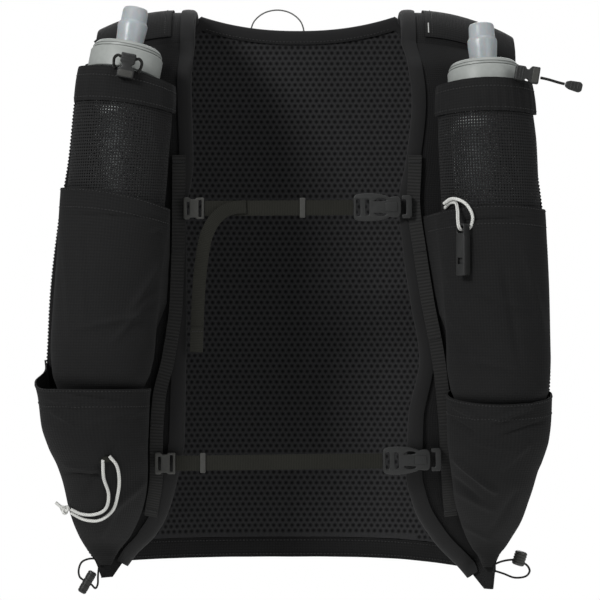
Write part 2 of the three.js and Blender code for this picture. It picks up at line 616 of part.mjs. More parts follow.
  // Soft flask, in a frame of its own: its axis is Z and its cap's top is at 0
  const top = side.flaskTop * VEST_DROP;
  const end = top + FLASK_LENGTH;
  const axisX = (z) => NECK_HALF * side.flaskX + side.lean * (-z - top);
  const standOff = FLASK_DEPTH / 2 + 2 * EASE + POCKET_WALL;
  const faceAt = (drop) => panelFace(side, axisX(-drop), -drop) - standOff;
  const [topFace, endFace] = [faceAt(top + CAP_HEIGHT), faceAt(end)];
  const straight = (drop) => mix(topFace, endFace, (drop - top) / FLASK_LENGTH);
  const forward = Math.max(...steps(10).map((t) => straight(mix(top, end, t)) - faceAt(mix(top, end, t))));
  const axisY = (z) => straight(-z) - Math.max(forward, 0);
  const flask = new THREE.Group();
  flask.position.set(sign * axisX(-top), axisY(-top), -top);
  const up = new THREE.Vector3(-sign * side.lean * FLASK_LENGTH, axisY(-top) - axisY(-end), FLASK_LENGTH);
  flask.quaternion.setFromUnitVectors(new THREE.Vector3(0, 0, 1), up.normalize());
  vest.add(flask);
  const collar = new THREE.Group();
  collar.rotation.set(-CAP_NOD, -sign * side.nodIn, 0);
  flask.add(collar);

  const neckRadius = CAP_RADIUS - CAP_WALL - 2 * GAP;
  const oval = (wide, deep, z) => steps(13).map((_, i) => {
    const turn = (2 * Math.PI * i) / 14;
    return [wide * Math.cos(turn), deep * Math.sin(turn), z];
  });
  const nodded = (ring) => ring.map(
    (point) => new THREE.Vector3(...point).applyEuler(collar.rotation).toArray(),
  );
  const bag = (setIn) => [
    nodded(oval(neckRadius - setIn, neckRadius - setIn, -CAP_WALL - GAP)),
    nodded(oval(neckRadius - setIn, neckRadius - setIn, -CAP_HEIGHT - 1)),
    ...FLASK_BAG.map((row) => oval(
      (FLASK_WIDTH / 2) * row.wide - setIn, (FLASK_DEPTH / 2) * row.deep - setIn,
      setIn * row.at ** 20 - FLASK_LENGTH * row.at,
    )),
  ];
  add(`flask_${name}`, loft([...bag(0).reverse(), ...bag(FLASK_WALL)]), "flask", flask);

  const spoutTop = VALVE_HEIGHT * 0.7;
  const capProfile = [
    [0, -CAP_WALL], [CAP_RADIUS - CAP_WALL, -CAP_WALL], [CAP_RADIUS - CAP_WALL, -CAP_HEIGHT],
    [CAP_RADIUS, -CAP_HEIGHT], [CAP_RADIUS, -8], [CAP_RADIUS * 0.96, -6.5], [CAP_RADIUS * 0.96, -4.5],
    [CAP_RADIUS * 0.88, -1.6], [SPOUT_RADIUS, 0.4], [SPOUT_RADIUS, spoutTop], [0, spoutTop],
  ];
  add(`flask_cap_${name}`, turned(capProfile, 16), "cap", collar);

  // Bite valve: a soft sleeve that turns on the cap's spout
  const bore = SPOUT_RADIUS + GAP;
  const valveProfile = [
    [0, VALVE_HEIGHT - VALVE_WALL], [bore, VALVE_HEIGHT - VALVE_WALL],
    [bore, 1.2], [VALVE_RADIUS - 1.1, 1.2],
    [VALVE_RADIUS, VALVE_HEIGHT * 0.5], [VALVE_RADIUS, VALVE_HEIGHT * 0.57],
    [VALVE_RADIUS - 1.3, VALVE_HEIGHT * 0.64], [VALVE_RADIUS - 1.5, VALVE_HEIGHT * 0.93],
    [VALVE_RADIUS - 3, VALVE_HEIGHT], [0, VALVE_HEIGHT],
  ];
  add(`bite_valve_${name}`, turned(valveProfile, 16), "valve", collar);

  // Pockets over the flask. `layer` is how far their outer face lies outside the sleeve's inner one.
  const closing = [0.85, 0.95, 1.0, 1.03, 1.055, 1.075].map((at) => top + at * FLASK_LENGTH);
  const pocketRows = (mouth, count, lower) => [
    ...steps(count).slice(0, -1).map((t) => mix(mouth, closing[0], t)),
    ...closing.map((drop) => drop + lower),
  ];
  const pocketWall = ({ mouth, rows, layer, lower, slack, tuck, tent }) => {
    const section = (drop, outside) => {
      const z = -drop;
      const inside = (drop - top - 1.5 * outside - lower) / FLASK_LENGTH;
      const middle = axisX(z);
      const filled = (FLASK_WIDTH / 2 + SLEEVE_EASE) * along(SLEEVE_FILL, "wide", inside);
      const wide = filled + outside + slack(drop);
      const open = along(SLEEVE_FILL, "open", inside);
      const foot = wide * mix(1.03, tuck, open);
      const fade = clamp(1 - (drop - mouth) / 60, 0, 1);
      const points = hugSection(side, z, {
        middle, wide, open, centre: axisY(z),
        deep: (FLASK_DEPTH / 2 + SLEEVE_EASE) * along(SLEEVE_FILL, "deep", inside) + outside,
        outFootX: middle + foot, tent: tent(drop),
        inFootX: mix(middle - foot, besideRail(z) + layer - outside, tent(drop)),
      });
      return points.map(([x, y, level]) => {
        const out = sign * x - middle;
        return [x, y, level + fade * (side.mouthLean * out - MOUTH_FROWN * (out / wide) ** 2)];
      });
    };
    const grid = (setIn) => rows.map((drop) => section(drop, layer - setIn));
    return wall(grid(0), grid(POCKET_WALL));
  };
  add(`flask_sleeve_${name}`, pocketWall({
    mouth: side.rimDrop, rows: pocketRows(side.rimDrop, 4, -2), layer: POCKET_WALL, lower: -2,
    slack: () => 0, tuck: 0.72, tent: () => 0,
  }), "sleeve");

  // Drawcord hem round the mouth of the sleeve
  const hemRows = pocketRows(side.rimDrop, 4, 0).slice(0, 2);
  add(`sleeve_hem_${name}`, pocketWall({
    mouth: side.rimDrop, rows: [hemRows[0], mix(...hemRows, HEM_WIDTH / (hemRows[1] - hemRows[0]))],
    layer: 2 * POCKET_WALL + EASE, lower: -2, slack: () => 0, tuck: 0.79, tent: () => 0,
  }), "pocket");

  // The front of the hem, where the cord locks are seated
  side.hemFront = axisY(-side.rimDrop) - (FLASK_DEPTH / 2 + SLEEVE_EASE) - 3 * POCKET_WALL - EASE;

  // Middle pocket: from the rail right round the flask
  const middleLayer = 2 * POCKET_WALL + EASE;
  const middleSlack = (drop) => 3 * clamp((260 - drop) / 110, 0, 1);
  const tent = (drop) => 0.96 * clamp((side.lowRimDrop - 22 - drop) / 40, 0, 1);
  add(`middle_pocket_${name}`, pocketWall({
    mouth: side.middleDrop, rows: pocketRows(side.middleDrop, 3, 8), layer: middleLayer, lower: 5,
    slack: middleSlack, tuck: 0.79, tent,
  }), "pocket");

  // Lower pocket: over the foot of the flask and down to the corner. Its mouth's ends are lifted.
  const mouthLift = (t) => (
    name === "left" ? 20 * clamp((0.3 - t) / 0.3, 0, 1) ** 1.5 : 14 * Math.abs(2 * t - 1) ** 3
  );
  const lowerRow = (drop, setIn, lift) => {
    const z = -drop;
    const [inner, outer] = [lowInner(z), POCKET_REACH * along(side.low, "outer", share(z))];
    const middle = (inner + outer) / 2;
    const wide = Math.max((outer - inner) / 2, setIn + 0.6) - setIn;
    const base = panelFace(side, middle, z) - easeAt(z);
    const bulge = Math.max(POCKET_DEPTH * along(side.low, "bulge", share(z)), setIn + 1) - setIn;
    return hugSection(side, z, {
      middle, wide, centre: base - bulge * 0.45, deep: bulge * 0.55, open: 1, tent: 0, lift,
      outFootX: middle + wide * 0.9, inFootX: Math.max(middle - wide * 0.9, besideRail(z) + setIn),
    });
  };
  const lowEnd = side.lowEnd * VEST_DROP;
  const lowLevels = levels.filter((drop) => drop > side.lowRimDrop + 4 && drop < lowEnd - 4);
  const lowRows = [side.lowRimDrop, ...lowLevels, lowEnd];
  const lowerGrid = (setIn) => lowRows.map((drop, i) => lowerRow(drop, setIn, i ? () => 0 : mouthLift));
  add(`lower_pocket_${name}`, wall(lowerGrid(0), lowerGrid(POCKET_WALL)), "pocket");
}

// Where a chest strap's pieces lie: in front of the bindings and rail tapes, at the strap's own level
const STRAP_REACH = 11;        // half the height that a buckle or hook takes on the front panel
const CLEAR_FRONT = EASE + BINDING_WALL + 3 * GAP + WEBBING_WALL;
function strapFront(drop) {
  const faces = [LEFT, RIGHT].flatMap((side) => [-STRAP_REACH, 0, STRAP_REACH].map(
    (up) => panelFace(side, railAt(side, up - drop), up - drop) - easeAt(up - drop) + EASE,
  ));
  return Math.min(...faces) - CLEAR_FRONT - HARDWARE_WALL / 2;
}

// An outline with its corners cut, symmetrical about its middle line, from rows of [x, half height]
const mirrored = (rows) => [...rows, ...[...rows].reverse().map(([x, half]) => [x, -half])];

function chestStrap(name, { drop, seat, hookLeft, buckleLeft, keeperX, slope }) {
  const strap = new THREE.Group();
  const y = strapFront(drop) + seat;
  strap.position.set(0, y, -drop);
  vest.add(strap);
  const tilt = (x) => slope * (x - keeperX);

  // Rail hook: a bar behind the rail's edge and a loop that the webbing turns round
  const hook = plate([
    ...mirrored([
      [0, 7.2], [1.2, HOOK_HEIGHT / 2], [4, HOOK_HEIGHT / 2], [5, 6.6], [8.6, 6.6], [9.6, 7.8], [15, 7.8],
    ]),
  ], [
    [[2.4, -5], [4.4, -5], [4.4, 5], [2.4, 5]],
    [[11, -6.2], [13.2, -6.2], [13.2, 6.2], [11, 6.2]],
  ], HARDWARE_WALL);
  add(`rail_hook_${name}`, hook, "plastic", strap).position.set(hookLeft, 0, tilt(hookLeft + 8));

  // Webbing from the hook to the buckle
  const ends = [hookLeft + 15 + GAP, buckleLeft - GAP];
  const path = ends.map((x) => ({ point: [x, 0, tilt(x)], across: [0, 0, 1], normal: [0, 1, 0] }));
  add(`chest_strap_${name}`, ribbon(path, WEBBING_WIDTH, WEBBING_WALL), "webbing", strap);

  // Keeper: a loop round the webbing
  const [bore, shell] = [[4.5, WEBBING_WALL + 2 * GAP, WEBBING_WIDTH + 2 * GAP], [4, HARDWARE_WALL, 14.4]];
  const keeper = solidOf(new THREE.BoxGeometry(...shell)).subtract(solidOf(new THREE.BoxGeometry(...bore)));
  add(`keeper_${name}`, geometryOf(keeper), "plastic", strap).position.set(keeperX, 0, 0);

  // Buckle: a frame that the webbing is threaded through, and a body that narrows to two lugs
  const half = BUCKLE_HEIGHT / 2;
  const body = plate(mirrored([
    [0, half * 0.72], [1.4, half * 0.9], [5, half * 0.98], [12, half], [19, half * 0.94], [24.5, half * 0.8],
    [26.5, half * 0.68], [29.5, half * 0.76], [33, half * 0.74], [BUCKLE_LENGTH - 0.6, half * 0.55],
    [BUCKLE_LENGTH - 0.2, half * 0.2],
  ]), [
    [[2, -6.4], [4.8, -6.4], [4.8, 6.4], [2, 6.4]],
    [[8.6, -6.4], [11.4, -6], [11.4, 6], [8.6, 6.4]],
  ], HARDWARE_WALL);
  const buckle = new THREE.Group();
  buckle.position.set(buckleLeft, 0, tilt(buckleLeft));
  buckle.rotation.y = -Math.atan(slope * 2);
  strap.add(buckle);
  add(`buckle_clip_${name}`, body, "plastic", buckle);

  // Socket: a C that the buckle's lugs snap into, on the right rail
  const socket = plate([
    [0, -8.4], [6, -8.4], [7.4, -7], [7.4, 7], [6, 8.4], [0, 8.4], [0, 5.4], [3, 5.4], [3, -5.4], [0, -5.4],
  ], [], HARDWARE_WALL);
  add(`buckle_socket_${name}`, socket, "plastic", buckle).position.set(BUCKLE_LENGTH + GAP, 0, 0);
}

chestStrap("upper", {
  drop: UPPER_STRAP_DROP, seat: 0.2, hookLeft: -83.6, buckleLeft: 40.5, keeperX: 3.3, slope: 0.006,
});
chestStrap("lower", {
  drop: LOWER_STRAP_DROP, seat: 0.7, hookLeft: -104.6, buckleLeft: 62, keeperX: -69.5, slope: 0.012,
});

// The upper strap's loose tail hangs in front of the webbing and turns down beside the left rail.
const TAIL = [
  { x: -38, z: -142, lift: 0 },
  { x: -46, z: -142.6, lift: 0 },
  { x: -54, z: -145.5, lift: 1.4 },
  { x: -61, z: -152, lift: 3.6 },
  { x: -66.6, z: -163, lift: 5 },
  { x: -70, z: -180, lift: 5.2 },
  { x: -72.4, z: -206, lift: 5 },
  { x: -74, z: -248, lift: 4.8 },
];
const tailFront = strapFront(UPPER_STRAP_DROP) - WEBBING_WALL - GAP;
const tailPath = TAIL.map(({ x, z, lift }, i) => {
  const [before, after] = [TAIL[Math.max(i - 1, 0)], TAIL[Math.min(i + 1, TAIL.length - 1)]];
  const [dx, dz] = [after.x - before.x, after.z - before.z];
  const length = Math.hypot(dx, dz);
  return { point: [x, tailFront - lift, z], across: [-dz / length, 0, dx / length], normal: [0, 1, 0] };
});
add("strap_tail", ribbon(tailPath, 9.4, WEBBING_WALL), "webbing");

// Whistle: a bar with a sound slot and an eye, turned a little on its cord
const WHISTLE = { x: 117.9, y: -121.4, top: -155.5, turn: -0.68 };
const whistleHalf = WHISTLE_WIDTH / 2;
const whistle = new THREE.Group();
whistle.position.set(WHISTLE.x, WHISTLE.y, WHISTLE.top);
whistle.rotation.z = WHISTLE.turn;
vest.add(whistle);
const bar = solidOf(plate([
  [-3.3, 0], [3.3, 0], [3.3, -8], [whistleHalf, -9.2], [whistleHalf, -WHISTLE_LENGTH],
  [-whistleHalf, -WHISTLE_LENGTH], [-whistleHalf, -9.2], [-3.3, -8],
], [], WHISTLE_WIDTH));
const eye = solidOf(new THREE.BoxGeometry(5, 2 * WHISTLE_WIDTH, 5).translate(0, 0, -4.1));
const slot = solidOf(new THREE.BoxGeometry(2.8, WHISTLE_WIDTH, 4).translate(0, -WHISTLE_WIDTH / 2, -26.6));
add("whistle", geometryOf(bar.subtract(eye).subtract(slot)), "plastic", whistle);

const whistleRoute = [
  [105.9, -100.2, -143.6], [109.2, -106.6, -140.2], [113.0, -113.6, -140.6], [114.0, -119.2, -146],
  [114.0, -123.8, -152.5], [114.6, -125.6, -157.6], [115.9, -123.9, -159.5], [117.9, -121.4, -159.6],
  [119.9, -118.9, -159.9], [123.2, -118.2, -157.8], [124.8, -119.9, -151.5], [123.4, -120.2, -146.2],
  [119.6, -119.4, -141], [114.6, -117.4, -138.2], [109.5, -111.6, -137.6], [105.0, -104.6, -140.6],
];
add("whistle_cord", cord(whistleRoute, CORD_THICK, 17), "white_cord");

// White drawcord of the left lower pocket: two strands that meet at a knot with a short end
const strandA = [
  [-140.3, -103.6, -325.4], [-140.3, -93.2, -338], [-137.4, -80.2, -351], [-141, -65, -363],
  [-149.6, -58, -367], [-158.8, -54.6, -366.7], [-166.6, -53.6, -363.4],
];
const strandB = [
  [-135.3, -104.8, -322.5], [-130.8, -101, -328.5], [-129.2, -90, -339.6], [-131, -78.2, -352],
  [-136, -63, -364.4], [-146, -54.8, -371.4], [-156.7, -51.6, -371], [-166.9, -50.8, -366],
];
add("pocket_cord_a", cord(strandA, CORD_THICK, 11), "white_cord");
add("pocket_cord_b", cord(strandB, CORD_THICK, 13), "white_cord");
const KNOT = [-170.9, -52.4, -363.6];
const knotEnd = new THREE.CylinderGeometry(CORD_THICK / 2, CORD_THICK / 2, 9, 8)
  .rotateZ(0.78)
  .translate(-3.6, 0, 3.6);
const knotBall = new THREE.SphereGeometry(3.8, 10, 7);
const knot = add("pocket_cord_knot", geometryOf(solidOf(knotBall).add(solidOf(knotEnd))), "white_cord");
knot.position.set(...KNOT);

// Cord locks of the sleeves' hems: a barrel and its button
const lockOutline = [
  [-6.1, -17.6], [6.1, -17.6], [6.1, -11.5], [3.4, -9.5], [3.4, -8], [5.3, -7],
  [5.3, 0], [-5.3, 0], [-5.3, -7], [-3.4, -8], [-3.4, -9.5], [-6.1, -11.5],
];
const LOCK_WALL = 8;
const lockLeft = add("cord_lock_left", plate(lockOutline, [], LOCK_WALL), "plastic");
const lockSeat = LOCK_WALL / 2 + GAP;
lockLeft.position.set(-120.6, LEFT.hemFront - lockSeat + 1.76, 10.4 - LEFT.rimDrop);
lockLeft.rotation.y = 0.2;
const lockRight = add("cord_lock_right", plate(lockOutline, [], LOCK_WALL), "plastic");
const rightLock = { x: 155.6, y: RIGHT.hemFront - lockSeat + 9, z: 3.4 - RIGHT.rimDrop };
lockRight.position.set(rightLock.x, rightLock.y, rightLock.z);
lockRight.rotation.y = -Math.PI / 2 + 0.16;

// Pull cord of the right lock, and its end
const pull = new THREE.Group();
pull.position.set(rightLock.x + 17.8, rightLock.y, rightLock.z - 4);
pull.rotation.y = 0.24;
vest.add(pull);
const PULL_LENGTH = 18;
const pullCord = new THREE.CylinderGeometry(1, 1.1, PULL_LENGTH, 8).rotateZ(Math.PI / 2);
add("pull_cord_right", pullCord, "grey_cord", pull).position.set(PULL_LENGTH / 2 + GAP, 0, 0);
add("pull_end_right", plate([
  [0, -1.8], [3, -3.2], [10.5, -3.9], [12.4, -2.4], [12.4, 2.4], [10.5, 3.9], [3, 3.2], [0, 1.8],
], [], 4), "plastic", pull).position.set(PULL_LENGTH + 2 * GAP, 0, 0);

// Elastic cords at the bottom corners, each with a barrel lock that the cord runs through
function barrel(name, radius, length, { at, lean, hole }) {
  const bore = new THREE.CylinderGeometry(FINE_CORD, FINE_CORD, 3 * radius, 8).rotateZ(Math.PI / 2);
  const body = new THREE.CylinderGeometry(radius, radius, length, 12).rotateX(Math.PI / 2);
  const drilled = solidOf(body).subtract(solidOf(bore.translate(0, 0, hole)));
  const lock = add(name, geometryOf(drilled), "plastic");
  lock.position.set(...at);
  lock.rotation.y = lean;
}
barrel("side_lock_left", 3.4, 18, { at: [-158.4, 13, -421.9], lean: 0.52, hole: 0 });
barrel("side_lock_right", 4.8, 11, { at: [166.4, 13, -404], lean: 0.3, hole: -2.4 });
const sideLeft = [
  [-146.4, 11.6, -405.8], [-149.4, 12.2, -405], [-153.6, 12.6, -404.2], [-158, 12.4, -404.6],
  [-162.6, 12, -407], [-164.8, 12.4, -413],
  [-164, 13, -418], [-161.4, 13, -420.2], [-158.4, 13, -421.9], [-155.4, 13, -423.6], [-152.4, 14.4, -426.6],
  [-150.8, 17.4, -424], [-150.6, 18.4, -417.8], [-149.8, 17, -411], [-147, 13.4, -403.4],
];
const sideRight = [
  [146.1, 12, -409.2], [151.6, 13, -406.8], [157.6, 13, -405.4], [162.4, 13, -405.2], [165.7, 13, -406.3],
  [168.9, 13, -407.3], [172.4, 13.2, -409.8], [174, 14, -413.6], [171.6, 15, -417.4], [163, 16, -418.8],
  [154.6, 16, -415.8], [147.4, 15, -413.4],
];
add("side_cord_left", cord(sideLeft, FINE_CORD, 15), "grey_cord");
add("side_cord_right", cord(sideRight, FINE_CORD, 15), "grey_cord");

export default vest;
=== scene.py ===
import math

import bmesh
import bpy
import numpy as np
from mathutils import Matrix, Vector


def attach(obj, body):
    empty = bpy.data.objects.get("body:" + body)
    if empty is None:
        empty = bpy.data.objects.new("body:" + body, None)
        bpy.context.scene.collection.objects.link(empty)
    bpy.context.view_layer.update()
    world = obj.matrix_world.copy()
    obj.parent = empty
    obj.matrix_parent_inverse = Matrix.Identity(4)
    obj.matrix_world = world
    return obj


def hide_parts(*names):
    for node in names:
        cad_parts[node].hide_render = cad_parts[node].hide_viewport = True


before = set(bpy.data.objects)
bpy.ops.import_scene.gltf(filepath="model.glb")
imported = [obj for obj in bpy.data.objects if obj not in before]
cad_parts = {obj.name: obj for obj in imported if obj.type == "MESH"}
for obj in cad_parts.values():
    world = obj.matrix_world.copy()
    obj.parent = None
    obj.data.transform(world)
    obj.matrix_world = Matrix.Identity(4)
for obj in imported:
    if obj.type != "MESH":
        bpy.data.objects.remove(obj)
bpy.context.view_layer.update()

# Camera, light and floor: the vest hangs in its worn form in front of a white background. The camera stands
# level with its middle and far back, and the floor lies well below it.
CAMERA_X, CAMERA_FAR, CAMERA_Z, LENS = 0.00144, 2.7, -0.21, 216.7
camera_data = bpy.data.cameras.new("camera")
camera_data.lens = LENS
camera_data.clip_end = 30
camera = bpy.data.objects.new("camera", camera_data)
camera.location = (CAMERA_X, -CAMERA_FAR, CAMERA_Z)
camera.rotation_euler = (math.pi / 2, 0, 0)
bpy.context.collection.objects.link(camera)
bpy.context.scene.camera = camera
bpy.context.scene.view_settings.view_transform = "Standard"

studio = bpy.data.worlds.new("studio")
studio.use_nodes = True
tree = studio.node_tree
backdrop = tree.nodes["Background"]
backdrop.inputs["Color"].default_value = (1, 1, 1, 1)
backdrop.inputs["Strength"].default_value = 1.0
dimmed = tree.nodes.new("ShaderNodeBackground")
dimmed.inputs["Color"].default_value = (0.96, 0.98, 1, 1)
dimmed.inputs["Strength"].default_value = 0.27
seen = tree.nodes.new("ShaderNodeLightPath")
either = tree.nodes.new("ShaderNodeMixShader")
tree.links.new(seen.outputs["Is Camera Ray"], either.inputs["Fac"])
tree.links.new(dimmed.outputs[0], either.inputs[1])
tree.links.new(backdrop.outputs[0], either.inputs[2])
tree.links.new(either.outputs[0], tree.nodes["World Output"].inputs["Surface"])
bpy.context.scene.world = studio

for name, place, size, watts in (
    ("key_light", (-1.5, -2.0, 1.1), 0.6, 46),
    ("fill_light", (1.7, -1.8, 0.5), 1.2, 11),
    ("top_light", (0.1, -0.1, 1.9), 1.2, 13),
    ("back_light", (0.0, 2.2, 0.9), 1.6, 22),
):
    softbox = bpy.data.lights.new(name, "AREA")
    softbox.size = size
    softbox.energy = watts
    lamp = bpy.data.objects.new(name, softbox)
    lamp.location = place
    lamp.rotation_euler = (Vector((0, 0, -0.2)) - Vector(place)).to_track_quat("-Z", "Y").to_euler()
    bpy.context.collection.objects.link(lamp)

FLOOR_SIZE, FLOOR_Z = 5, -0.78
bpy.ops.object.select_all(action="DESELECT")
bpy.ops.mesh.primitive_plane_add(size=FLOOR_SIZE, location=(0, 0, FLOOR_Z))
floor = bpy.context.object
floor.name = "floor"
pale = bpy.data.materials.new("pale_floor")
pale.use_nodes = True
pale.node_tree.nodes["Principled BSDF"].inputs["Base Color"].default_value = (0.86, 0.86, 0.85, 1)
pale.node_tree.nodes["Principled BSDF"].inputs["Roughness"].default_value = 0.9
floor.data.materials.append(pale)


# White cords: a thick round braid of polyester, 2.4 mm across. One pair hangs on the left lower pocket and
# meets at a knot, and one loop carries the whistle. They are limp and hang from bar tacks.
def eased(t, low, low_slope, high, high_slope, span=1):
    """The smooth curve from one value to the next, with a slope given at each."""
    return (
        (2 * t**3 - 3 * t**2 + 1) * low + (t**3 - 2 * t**2 + t) * span * low_slope
        + (3 * t**2 - 2 * t**3) * high + (t**3 - t**2) * span * high_slope
    )


def smooth_path(points, shares):
    """Points at shares of the way along a smooth curve through the given points."""
    points = np.asarray(points, float)
    place = np.clip(np.asarray(shares, float) * (len(points) - 1), 0, len(points) - 1 - 1e-9)
    i = place.astype(int)
    t = (place - i)[:, None]
    wide = np.vstack([2 * points[0] - points[1], points, 2 * points[-1] - points[-2]])
    p0, p1, p2, p3 = wide[i], wide[i + 1], wide[i + 2], wide[i + 3]
    first, second, third = (
        np.maximum(np.linalg.norm(b - a, axis=1) ** 0.5, 1e-5)[:, None]
        for a, b in ((p0, p1), (p1, p2), (p2, p3))
    )
    start = ((p1 - p0) / first - (p2 - p0) / (first + second) + (p2 - p1) / second) * second
    end = ((p2 - p1) / second - (p3 - p1) / (second + third) + (p3 - p2) / third) * second
    return eased(t, p1, start, p2, end)


def new_piece(name, points, faces, uvs=None, sharp=40):
    """A mesh object from points, faces and, if given, a UV pair in metres for each point."""
    mesh = bpy.data.meshes.new(name)
    mesh.from_pydata([tuple(p) for p in points], [], [tuple(f) for f in faces])
    if uvs is not None:
        layer = mesh.uv_layers.new(name="cloth")
        corners = np.empty(len(mesh.loops), dtype=np.int32)
        mesh.loops.foreach_get("vertex_index", corners)
        layer.data.foreach_set("uv", np.asarray(uvs, np.float32)[corners].ravel())
    mesh.polygons.foreach_set("use_smooth", [True] * len(mesh.polygons))
    mesh.set_sharp_from_angle(angle=math.radians(sharp))
    piece = bpy.data.objects.new(name, mesh)
    bpy.context.collection.objects.link(piece)
    return piece


def ring_faces(count, sides):
    """The faces between rings of points that follow each other, and those that close the two ends."""
    last = (count - 1) * sides
    faces = [
        (k * sides + j, k * sides + (j + 1) % sides, (k + 1) * sides + (j + 1) % sides, (k + 1) * sides + j)
        for k in range(count - 1) for j in range(sides)
    ]
    return [*faces, tuple(range(sides))[::-1], tuple(range(last, last + sides))]


def tube(name, line, radius, sides=10, flatten=1.0):
    """A closed round tube along a line of points. Its UVs run in metres along and around it."""
    line = np.asarray(line, float)
    ahead = np.gradient(line, axis=0)
    ahead /= np.linalg.norm(ahead, axis=1)[:, None]
    across = np.cross(ahead[0], [0.3, 0.9, 0.31])
    rings, uvs, run = [], [], 0.0
    for k, (centre, way) in enumerate(zip(line, ahead)):
        across = across - way * across.dot(way)
        across /= np.linalg.norm(across)
        up = np.cross(way, across)
        run += 0 if k == 0 else np.linalg.norm(line[k] - line[k - 1])
        for turn in np.linspace(0, 2 * math.pi, sides, endpoint=False):
            rings.append(centre + radius * (math.cos(turn) * across + flatten * math.sin(turn) * up))
            uvs.append((run, turn * radius))
    return new_piece(name, rings, ring_faces(len(line), sides), uvs, sharp=70)


ROUGH_FROM, CLOTH_SHINE, PLASTIC_SHINE = 0.65, 0.16, 0.42


def finish(name, slot, color, roughness, sheen=0.0):
    """A material with its Principled shader, and that shader."""
    made = bpy.data.materials.new(name)
    made.use_nodes = True
    shader = made.node_tree.nodes["Principled BSDF"]
    shader.inputs["Base Color"].default_value = (*color, 1)
    shader.inputs["Roughness"].default_value = roughness
    shine = CLOTH_SHINE if roughness > ROUGH_FROM else PLASTIC_SHINE
    shader.inputs["Specular IOR Level"].default_value = shine
    shader.inputs["Sheen Weight"].default_value = sheen
    shader.inputs["Sheen Roughness"].default_value = 0.5
    made["slot"] = slot
    return made, shader


def wear(piece, made, body="vest", *nodes):
    """Puts a material on a piece, which rides on a body and may stand for CAD nodes."""
    piece.data.materials.clear()
    piece.data.materials.append(made)
    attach(piece, body)
    if nodes:
        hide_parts(*nodes)


def math_node(made, operation, *values):
    """A Math node in a material or a group, fed by sockets or plain numbers. Returns its output."""
    tree = made.node_tree if hasattr(made, "node_tree") else made
    node = tree.nodes.new("ShaderNodeMath")
    node.operation = operation
    for socket, value in zip(node.inputs, values):
        if isinstance(value, (int, float)):
            socket.default_value = value
        else:
            tree.links.new(value, socket)
    return node.outputs[0]


def color_mix(made, share, low, high):
    """A colour between two, by a mask. Returns the output."""
    node = made.node_tree.nodes.new("ShaderNodeMix")
    node.data_type = "RGBA"
    made.node_tree.links.new(share, node.inputs[0])
    for socket, value in ((node.inputs[6], low), (node.inputs[7], high)):
        if isinstance(value, tuple):
            socket.default_value = (*value, 1)
        else:
            made.node_tree.links.new(value, socket)
    return node.outputs[2]


def raise_surface(made, shader, height, depth, strength=1.0):
    """Bumps a material by a height mask, depth in metres, on top of any bump it has."""
    bump = made.node_tree.nodes.new("ShaderNodeBump")
    bump.inputs["Strength"].default_value = strength
    bump.inputs["Distance"].default_value = depth
    made.node_tree.links.new(height, bump.inputs["Height"])
    normal = shader.inputs["Normal"]
    if normal.is_linked:
        made.node_tree.links.new(normal.links[0].from_socket, bump.inputs["Normal"])
    made.node_tree.links.new(bump.outputs[0], normal)


def new_group(name, inputs, outputs):
    """An empty shader node group with named sockets, and its input and output nodes."""
    group = bpy.data.node_groups.new(name, "ShaderNodeTree")
    for label, kind, value in inputs:
        socket = group.interface.new_socket(label, in_out="INPUT", socket_type=kind)
        if value is not None:
            socket.default_value = value
    for label, kind in outputs:
        group.interface.new_socket(label, in_out="OUTPUT", socket_type=kind)
    return group, group.nodes.new("NodeGroupInput"), group.nodes.new("NodeGroupOutput")


def place_group(made, group, vector=None, **values):
    """Places a node group in a material, with its vector fed by the piece's own map and its values set."""
    node = made.node_tree.nodes.new("ShaderNodeGroup")
    node.node_tree = group
    if vector is not None:
        made.node_tree.links.new(vector, node.inputs["Vector"])
    for label, value in values.items():
        node.inputs[label.replace("_", " ").capitalize()].default_value = value
    return node


def own_map(made, kind="UV"):
    """The piece's own coordinates: its UV map, in metres, or its object coordinates."""
    return made.node_tree.nodes.new("ShaderNodeTexCoord").outputs[kind]


# The braid's strands cross each other at a slant round the cord.
BRAID_TURN = 6.283
braid, braid_in, braid_out = new_group(
    "braid", [("Vector", "NodeSocketVector", None), ("Pitch", "NodeSocketFloat", 0.002)],
    [("Height", "NodeSocketFloat")],
)
split = braid.nodes.new("ShaderNodeSeparateXYZ")
braid.links.new(braid_in.outputs["Vector"], split.inputs[0])
along_it = math_node(braid, "DIVIDE", split.outputs["X"], braid_in.outputs["Pitch"])
around_it = math_node(braid, "DIVIDE", split.outputs["Y"], braid_in.outputs["Pitch"])
slants = []
for sum_or_difference in ("ADD", "SUBTRACT"):
    slant = math_node(braid, sum_or_difference, along_it, around_it)
    slants.append(math_node(braid, "SINE", math_node(braid, "MULTIPLY", slant, BRAID_TURN)))
crossed = math_node(braid, "MAXIMUM", *slants)
braid.links.new(math_node(braid, "MULTIPLY_ADD", crossed, 0.5, 0.5), braid_out.inputs["Height"])


def braided(name, slot, color, roughness, sheen, pitch, low, high, depth):
    """The surface of a braided cord: its strands at a pitch, deeper between them, with painted shade that darkens
    the grooves.
    """
    made, shader = finish(name, slot, color, roughness, sheen)
    strands = place_group(made, braid, own_map(made), pitch=pitch).outputs["Height"]
    # Painted shade: the colour is darker between the strands, where the grooves lie.
    made.node_tree.links.new(color_mix(made, strands, low, high), shader.inputs["Base Color"])
    raise_surface(made, shader, strands, depth)
    return made


def length_of(line):
    return float(np.linalg.norm(np.diff(line, axis=0), axis=1).sum())


white_braid = braided(
    "white_braid", "white_cord", (0.7, 0.7, 0.665), 0.75, 0.2, pitch=0.0019,
    low=(0.46, 0.46, 0.43), high=(0.78, 0.78, 0.75), depth=0.0003,
)

